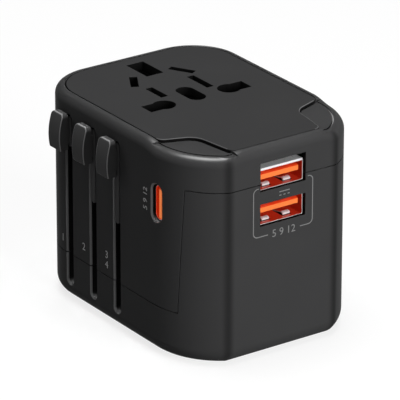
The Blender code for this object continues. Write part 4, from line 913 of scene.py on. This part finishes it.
# Faces of a tab's tip, which stay steel; the rest of the tab carries the painted reflection
TAB_TIP_FACES = (3, 4, 5)
TONGUE_WIDTH = 11.6 * MM
TONGUE_THICKNESS = 1.2 * MM
TONGUE_BELOW_TOP = {"upper": 1.95 * MM, "lower": 1.6 * MM}
TONGUE_SETBACK = 0.8 * MM
TONGUE_EDGE = 0.15 * MM
TONGUE_SLOPE = (0.7 * MM, 0.35 * MM)
TONGUE_UPPER_FACES = (2, 3)
INSERT_BACK = 2.0 * MM
CONTACT_X = (-3.5 * MM, -1.0 * MM, 1.0 * MM, 3.5 * MM)
CONTACT_WIDTH = 1.0 * MM
CONTACT_SHEET = 0.12 * MM
CONTACT_SETBACK = 1.2 * MM
USB_C_SHEET = 0.2 * MM
USB_C_SHELL_EDGE = USB_C_SHEET / 3
USB_C_SHELL_BACK = 0.2 * MM
USB_C_TONGUE = (1.05 * MM, 7.4 * MM)
USB_C_TONGUE_ASIDE = 0.87 * MM
USB_C_TONGUE_FRONT = -25.1 * MM
USB_C_BACK = 1.0 * MM


def shell_box(word):
    """The metal shell's box: a little lower than in the CAD."""
    low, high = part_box(f"usb_a_{word}_shell")
    down = Vector((0, 0, SHELL_LOWER))
    return low - down, high - down


def spring_tab(x, front, wall, way):
    """A sprung tongue cut from the shell: fixed at its back end and bent inwards towards its tip."""
    outline = [(front + depth * MM, wall + way * rise * MM) for depth, rise in TAB_PROFILE]
    sections = [lifted(outline, level, "X") for level in about(x, TAB_WIDTH)]
    return loft(sections, lambda level, point: 0 if point in TAB_TIP_FACES else 1)


def usb_a_shell(word):
    """A folded steel shell with a hem along its top and four spring tabs, with a painted reflection of the
    orange insert in red inside it and on the tabs' arms.

    The upper one also has a flange that fills the top of its window.
    """
    low, high = shell_box(word)
    outline = rounded(low.x, high.x, low.z, high.z, SHELL_RADIUS)
    block = rounded_prism(outline, low.y, high.y, "Y", low_edge=SHELL_EDGE)
    obj = made(f"usb_a_{word}_shell_sheet", block, STEEL_PAINTED_SHINE)
    hem = HEM_HEIGHT[word]
    left, right = low.x + SIDE_SHEET, high.x - SIDE_SHEET
    inside = rounded(left, right, low.z + SHEET, high.z - hem, SHELL_RADIUS - SHEET)
    above = box((low.x + SHELL_RADIUS, high.x - SHELL_RADIUS), (low.y + HEM_DEPTH, high.y + OVERCUT),
                (high.z - 2 * hem, high.z - SHEET))
    bore = flared(inside, high.y + OVERCUT, low.y, "Y", SHELL_EDGE)
    # The shell's inside takes the painted reflection of the orange insert
    combine(obj, "DIFFERENCE", [bore, above], ORANGE_REFLECTION, STEEL_PAINTED_SHINE)
    gaps, tabs = [], []
    for x in (-TAB_X, TAB_X):
        for wall, way in ((low.z, 1), (high.z, -1)):
            tabs.append(spring_tab(x, low.y, wall + way * SHEET, way))
        gap_y = (low.y + TAB_TIP - CLEARANCE, low.y + TAB_ROOT)
        gaps.append(box(about(x, TAB_WIDTH + 2 * CLEARANCE), gap_y, about(low.z + SHEET / 2, 2 * SHEET)))
    # The gaps round the tabs are black inside: painted shade
    combine(obj, "DIFFERENCE", gaps, BLACK_AND_HOLE_SHADE)
    if word == "upper":
        width = about(0, PORT_WIDTH - FLANGE_GAP)
        flange = box(width, (low.y, low.y + FLANGE_DEPTH), (high.z - SHEET, high.z))
        combine(obj, "UNION", [flange], STEEL_PAINTED_SHINE)
    combine(obj, "UNION", tabs, STEEL_PAINTED_SHINE, ORANGE_REFLECTION)
    dress(obj, "port_steel", "body", f"usb_a_{word}_shell")


def usb_a_insert(word):
    """The orange block at the back of the shell, its tongue and the tongue's four contacts."""
    low, high = shell_box(word)
    gap = SHEET + CLEARANCE
    back = rounded(low.x + gap, high.x - gap, low.z + gap, high.z - gap, SHELL_RADIUS / 2)
    block = rounded_prism(back, high.y - INSERT_BACK, high.y, "Y", low_edge=TONGUE_EDGE)
    obj = made(f"usb_a_{word}_insert_moulding", block, ORANGE)
    top = high.z - TONGUE_BELOW_TOP[word]
    front = low.y + TONGUE_SETBACK
    slope, rise = TONGUE_SLOPE
    back_y = high.y - INSERT_BACK / 2
    profile = [(front, top - TONGUE_THICKNESS), (back_y, top - TONGUE_THICKNESS), (back_y, top + rise)]
    profile += [(front + slope, top + rise), (front, top)]
    sections = [lifted(profile, level, "X") for level in about(0, TONGUE_WIDTH)]
    tongue = loft(sections, lambda level, point: 1 if point in TONGUE_UPPER_FACES else 0)
    combine(obj, "UNION", [tongue], ORANGE, DEEP)
    dress(obj, "port_plastic", "body", f"usb_a_{word}_insert")
    under = top - TONGUE_THICKNESS
    for number, x in enumerate(CONTACT_X, 1):
        outline = rectangle(*about(x, CONTACT_WIDTH), front + CONTACT_SETBACK, high.y - INSERT_BACK)
        strip = rounded_prism(outline, under - CONTACT_SHEET, under, low_edge=CONTACT_SHEET / 2)
        dress(made(f"usb_a_{word}_contact_{number}", strip, BRASS), "contact_brass", "body")


def usb_c():
    """The upright USB-C port: a short oval tube, and an orange block with its tongue."""
    low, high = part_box("usb_c_shell")
    middle, radius = (low.y + high.y) / 2, (high.y - low.y) / 2

    def oval(shrink):
        return stadium(middle, low.z + radius, high.z - radius, radius - shrink)

    front = low.x + USB_C_SHELL_BACK
    tube = rounded_prism(oval(0), front, high.x, "X", low_edge=USB_C_SHELL_EDGE)
    shell = made("usb_c_shell_sheet", tube, ZINC)
    bore = flared(oval(USB_C_SHEET), high.x + OVERCUT, front, "X", USB_C_SHELL_EDGE)
    # The inside of the metal tube is painted with the shaded orange: a painted reflection of the orange
    # block
    combine(shell, "DIFFERENCE", [bore], DEEP, DEEP)
    dress(shell, "port_steel", "body", "usb_c_shell")
    block = prism(oval(USB_C_SHEET + CLEARANCE), high.x - USB_C_BACK, high.x, "X")
    insert = made("usb_c_insert_moulding", block, ORANGE)
    tongue = moved(centred(USB_C_TONGUE), middle - USB_C_TONGUE_ASIDE, (low.z + high.z) / 2)
    tongue_back = high.x - USB_C_BACK / 2
    tongue_mesh = rounded_prism(tongue, USB_C_TONGUE_FRONT, tongue_back, "X", low_edge=TONGUE_EDGE)
    combine(insert, "UNION", [tongue_mesh], ORANGE)
    dress(insert, "port_plastic", "body", "usb_c_insert")


# Prints: plain numbers, a mark for direct current and a frame round the ports

PRINT_DEPTH = 0.012 * MM
FRAME_LINE = 0.24 * MM
FRAME_X = 8.6 * MM
FRAME_TOP = (7.1 * MM, 43.8 * MM)
FRAME_BOTTOM = 31.4 * MM
FRAME_ENDS = {-1: 4.35 * MM, 1: 5.0 * MM}
FRAME_CORNER = 1.2 * MM
FRAME_CORNER_STEPS = 8
FRAME_NUMBERS = ("5 9 12", 0.25 * MM, 31.3 * MM, 2.7 * MM)
MARK_PLACE = (0.36 * MM, 41.2 * MM)
MARK_SIZE = (3.0 * MM, 0.9 * MM)
MARK_LINE = 0.26 * MM
MARK_DASH = MARK_SIZE[0] / 5
MARK_DASH_PITCH = MARK_SIZE[0] / 2.5
SIDE_NUMBERS = (
    ("1", 21.9 * MM, 15.9 * MM),
    ("2", 12.6 * MM, 16.7 * MM),
    ("3", 2.6 * MM, 18.2 * MM),
    ("4", 2.6 * MM, 15.6 * MM),
)
SIDE_NUMBER_SIZE = 2.7 * MM
USB_C_NUMBERS = ("5 9 12", -14.15 * MM, 39.0 * MM, 2.3 * MM)
LETTER_STEPS = 4
MERGE_DISTANCE = PRINT_DEPTH / 100
FACING_FRONT = Matrix(((1, 0, 0), (0, 0, -1), (0, 1, 0)))
FACING_SIDE = Matrix(((0, 0, -1), (-1, 0, 0), (0, 1, 0)))
FACING_SIDE_UPWARDS = Matrix(((0, 0, -1), (0, 1, 0), (1, 0, 0)))


def printed(name, mesh, material):
    dress(made(name, mesh, material), "case_plastic", "body")


def ribbon(points, width):
    """The outline of a line of even width through points."""
    path = [Vector(point) for point in points]
    ways = [(after - before).normalized() for before, after in zip(path, path[1:])]
    left, right = [], []
    for number, point in enumerate(path):
        came, goes = ways[max(number - 1, 0)], ways[min(number, len(ways) - 1)]
        first, second = Vector((came.y, -came.x)), Vector((goes.y, -goes.x))
        out = (first + second) * (width / 2 / (1 + first.dot(second)))
        right.append(tuple(point + out))
        left.append(tuple(point - out))
    return right + list(reversed(left))


def front_print(name, outline):
    printed(name, prism(outline, -HALF_DEPTH - PRINT_DEPTH, -HALF_DEPTH + PRINT_DEPTH, "Y"), PRINT)


def number_print(name, words, size, place, facing):
    """Numbers as a thin mesh, centred on a place on the surface."""
    curve = bpy.data.curves.new(name, "FONT")
    curve.body = words
    curve.size = size
    curve.align_x = "CENTER"
    curve.align_y = "CENTER"
    curve.extrude = PRINT_DEPTH
    curve.resolution_u = LETTER_STEPS
    source = bpy.data.objects.new(name, curve)
    bpy.context.scene.collection.objects.link(source)
    bpy.context.view_layer.update()
    data = bpy.data.meshes.new_from_object(source.evaluated_get(bpy.context.evaluated_depsgraph_get()))
    mesh = bmesh.new()
    mesh.from_mesh(data)
    bmesh.ops.remove_doubles(mesh, verts=mesh.verts, dist=MERGE_DISTANCE)
    bmesh.ops.transform(mesh, matrix=Matrix.Translation(place) @ facing.to_4x4(), verts=mesh.verts)
    bpy.data.objects.remove(source, do_unlink=True)
    printed(name, mesh, PRINT if facing is FACING_FRONT else PALE_PRINT)


def prints():
    """The frame, mark and numbers on the front, and the numbers on the curved slider side."""
    for side, word in ((-1, "left"), (1, "right")):
        corner_x = FRAME_X - FRAME_CORNER
        high, low = FRAME_TOP[1] - FRAME_CORNER, FRAME_BOTTOM + FRAME_CORNER
        upper = arc((corner_x, high), FRAME_CORNER, QUARTER, 0, FRAME_CORNER_STEPS)
        lower = arc((corner_x, low), FRAME_CORNER, 0, -QUARTER, FRAME_CORNER_STEPS)
        path = [FRAME_TOP] + upper + lower + [(FRAME_ENDS[side], FRAME_BOTTOM)]
        outline = ribbon(path, FRAME_LINE)
        front_print(f"port_frame_{word}", outline if side > 0 else mirrored(outline))
    x, z = MARK_PLACE
    width, height = MARK_SIZE
    front_print("current_line", rectangle(*about(x, width), *about(z + height / 2, MARK_LINE)))
    for number, step in enumerate((-1, 0, 1), 1):
        dash = about(x + step * MARK_DASH_PITCH, MARK_DASH)
        front_print(f"current_dash_{number}", rectangle(*dash, *about(z - height / 2, MARK_LINE)))
    words, x, z, size = FRAME_NUMBERS
    number_print("frame_numbers", words, size, Vector((x, -HALF_DEPTH, z)), FACING_FRONT)
    words, y, z, size = USB_C_NUMBERS
    number_print("usb_c_numbers", words, size, Vector((-HALF_WIDTH, y, z)), FACING_SIDE_UPWARDS)
    for words, y, z in SIDE_NUMBERS:
        angle = math.asin(max(y - BACK_CENTRE[1], 0) / BACK_CORNER_RADIUS)
        x = -HALF_WIDTH + BACK_CORNER_RADIUS * (1 - math.cos(angle))
        facing = Matrix.Rotation(-angle, 3, "Z") @ FACING_SIDE
        number_print(f"slider_number_{words}", words, SIDE_NUMBER_SIZE, Vector((x, y, z)), facing)


# Stage

CAMERA_PLACE = Vector((-535.16, -766.61, 426.73)) * MM
CAMERA_RIGHT = Vector((0.82032, -0.57191, 0.0013))
CAMERA_UP = Vector((0.22372, 0.32298, 0.91958))
CAMERA_LENS = 376.23
CAMERA_SENSOR = 36.0
FLOOR_RADIUS = 0.6
FLOOR_DEPTH = 0.01
FLOOR_STEPS = 96
FLOOR_ROUGHNESS = 0.9
FLOOR_SHADE = 0.26
FLOOR_GLOW = 0.78
WORLD_LIGHT = 0.027

# Lamps: direction from the middle of the object, distance, size and power
FRONT_SOFTBOX = ((0.06, -0.95, 0.28), 0.8, 0.4, 5.8)
TOP_SOFTBOX = ((0.0, 0.05, 0.97), 0.8, 0.45, 4.7)
SIDE_SOFTBOX = ((-0.5, 0.8, 0.35), 0.8, 0.25, 0.47)
GLOSS_CARD = ((-0.06, 0.16, 0.98), 0.6, 0.26, 760.0)
PORT_SOFTBOX = ((-0.93, -0.3, 0.2), 0.8, 0.3, 3.2)


def camera():
    data = bpy.data.cameras.new("camera")
    data.lens = CAMERA_LENS
    data.sensor_width = CAMERA_SENSOR
    data.sensor_fit = "HORIZONTAL"
    obj = bpy.data.objects.new("camera", data)
    back = CAMERA_RIGHT.cross(CAMERA_UP)
    axes = Matrix((CAMERA_RIGHT, CAMERA_UP, back)).transposed().to_4x4()
    obj.matrix_world = Matrix.Translation(CAMERA_PLACE) @ axes
    bpy.context.scene.collection.objects.link(obj)
    bpy.context.scene.camera = obj


def softbox(name, direction, distance, size, power):
    """A square lamp that looks at the middle of the object."""
    data = bpy.data.lights.new(name, "AREA")
    data.shape = "SQUARE"
    data.size = size
    data.energy = power
    obj = bpy.data.objects.new(name, data)
    way = Vector(direction).normalized()
    obj.location = Vector((0, 0, RIM_TOP / 2)) + way * distance
    obj.rotation_euler = way.to_track_quat("Z", "Y").to_euler()
    bpy.context.scene.collection.objects.link(obj)
    return obj


def link_lamp(lamp, group_name, pieces, state="INCLUDE"):
    """Makes a lamp light only some pieces, or all but those."""
    group = bpy.data.collections.new(group_name)
    for piece in pieces:
        group.objects.link(bpy.data.objects[piece])
    for entry in group.collection_objects:
        entry.light_linking.link_state = state
    lamp.light_linking.receiver_collection = group


def lamps():
    """Three plain lamps, a card that only the housings reflect, and one lamp for the USB-C port.

    The card is strong because the plastic reflects little, and it gives no other light.
    """
    front = softbox("front_softbox", *FRONT_SOFTBOX)
    link_lamp(front, "shaded_pieces", [f"{word}_knob_skin" for word in SLIDERS], "EXCLUDE")
    softbox("top_softbox", *TOP_SOFTBOX)
    softbox("side_softbox", *SIDE_SOFTBOX)
    card = softbox("gloss_card", *GLOSS_CARD)
    card.visible_diffuse = False
    link_lamp(card, "glossy_pieces", ["upper_housing_skin", "lower_housing_skin"])
    port = softbox("port_softbox", *PORT_SOFTBOX)
    link_lamp(port, "recessed_pieces", ["usb_c_insert_moulding", "usb_c_shell_sheet"])


def seen_directly(tree):
    """1 for rays from the camera, and for reflections and glass, which show the background too."""
    path = tree.nodes.new("ShaderNodeLightPath")
    total = path.outputs["Is Camera Ray"]
    for ray in ("Is Glossy Ray", "Is Transmission Ray"):
        most = tree.nodes.new("ShaderNodeMath")
        most.operation = "MAXIMUM"
        tree.links.new(total, most.inputs[0])
        tree.links.new(path.outputs[ray], most.inputs[1])
        total = most.outputs["Value"]
    return total


def floor():
    """A grey floor that takes the object's shadow, and glows where it is seen so that it shows white."""
    material, tree, shader = node_material("white_floor")
    shader.inputs["Base Color"].default_value = (FLOOR_SHADE, FLOOR_SHADE, FLOOR_SHADE, 1)
    shader.inputs["Roughness"].default_value = FLOOR_ROUGHNESS
    shader.inputs["Specular IOR Level"].default_value = 0.0
    tree.links.new(ramp(tree, seen_directly(tree), 0.0, FLOOR_GLOW), shader.inputs["Emission Strength"])
    shader.inputs["Emission Color"].default_value = (1, 1, 1, 1)
    obj = made("floor", prism(circle(0, 0, FLOOR_RADIUS, FLOOR_STEPS), -FLOOR_DEPTH, 0))
    obj.data.materials.append(material)


def world():
    """A weak even light, with white where the world itself is seen."""
    scene_world = bpy.data.worlds.new("studio")
    scene_world.use_nodes = True
    tree = scene_world.node_tree
    background = tree.nodes["Background"]
    background.inputs["Color"].default_value = (1, 1, 1, 1)
    tree.links.new(ramp(tree, seen_directly(tree), WORLD_LIGHT, 1.0), background.inputs["Strength"])
    bpy.context.scene.world = scene_world


paint_frame()
upper_housing()
lower_housing()
socket_plate()
for slider_word, slider_y in SLIDERS.items():
    knob(slider_word, slider_y)
for port_word in ("upper", "lower"):
    usb_a_shell(port_word)
    usb_a_insert(port_word)
usb_c()
prints()
camera()
lamps()
floor()
world()
bpy.context.scene.view_settings.view_transform = "Standard"
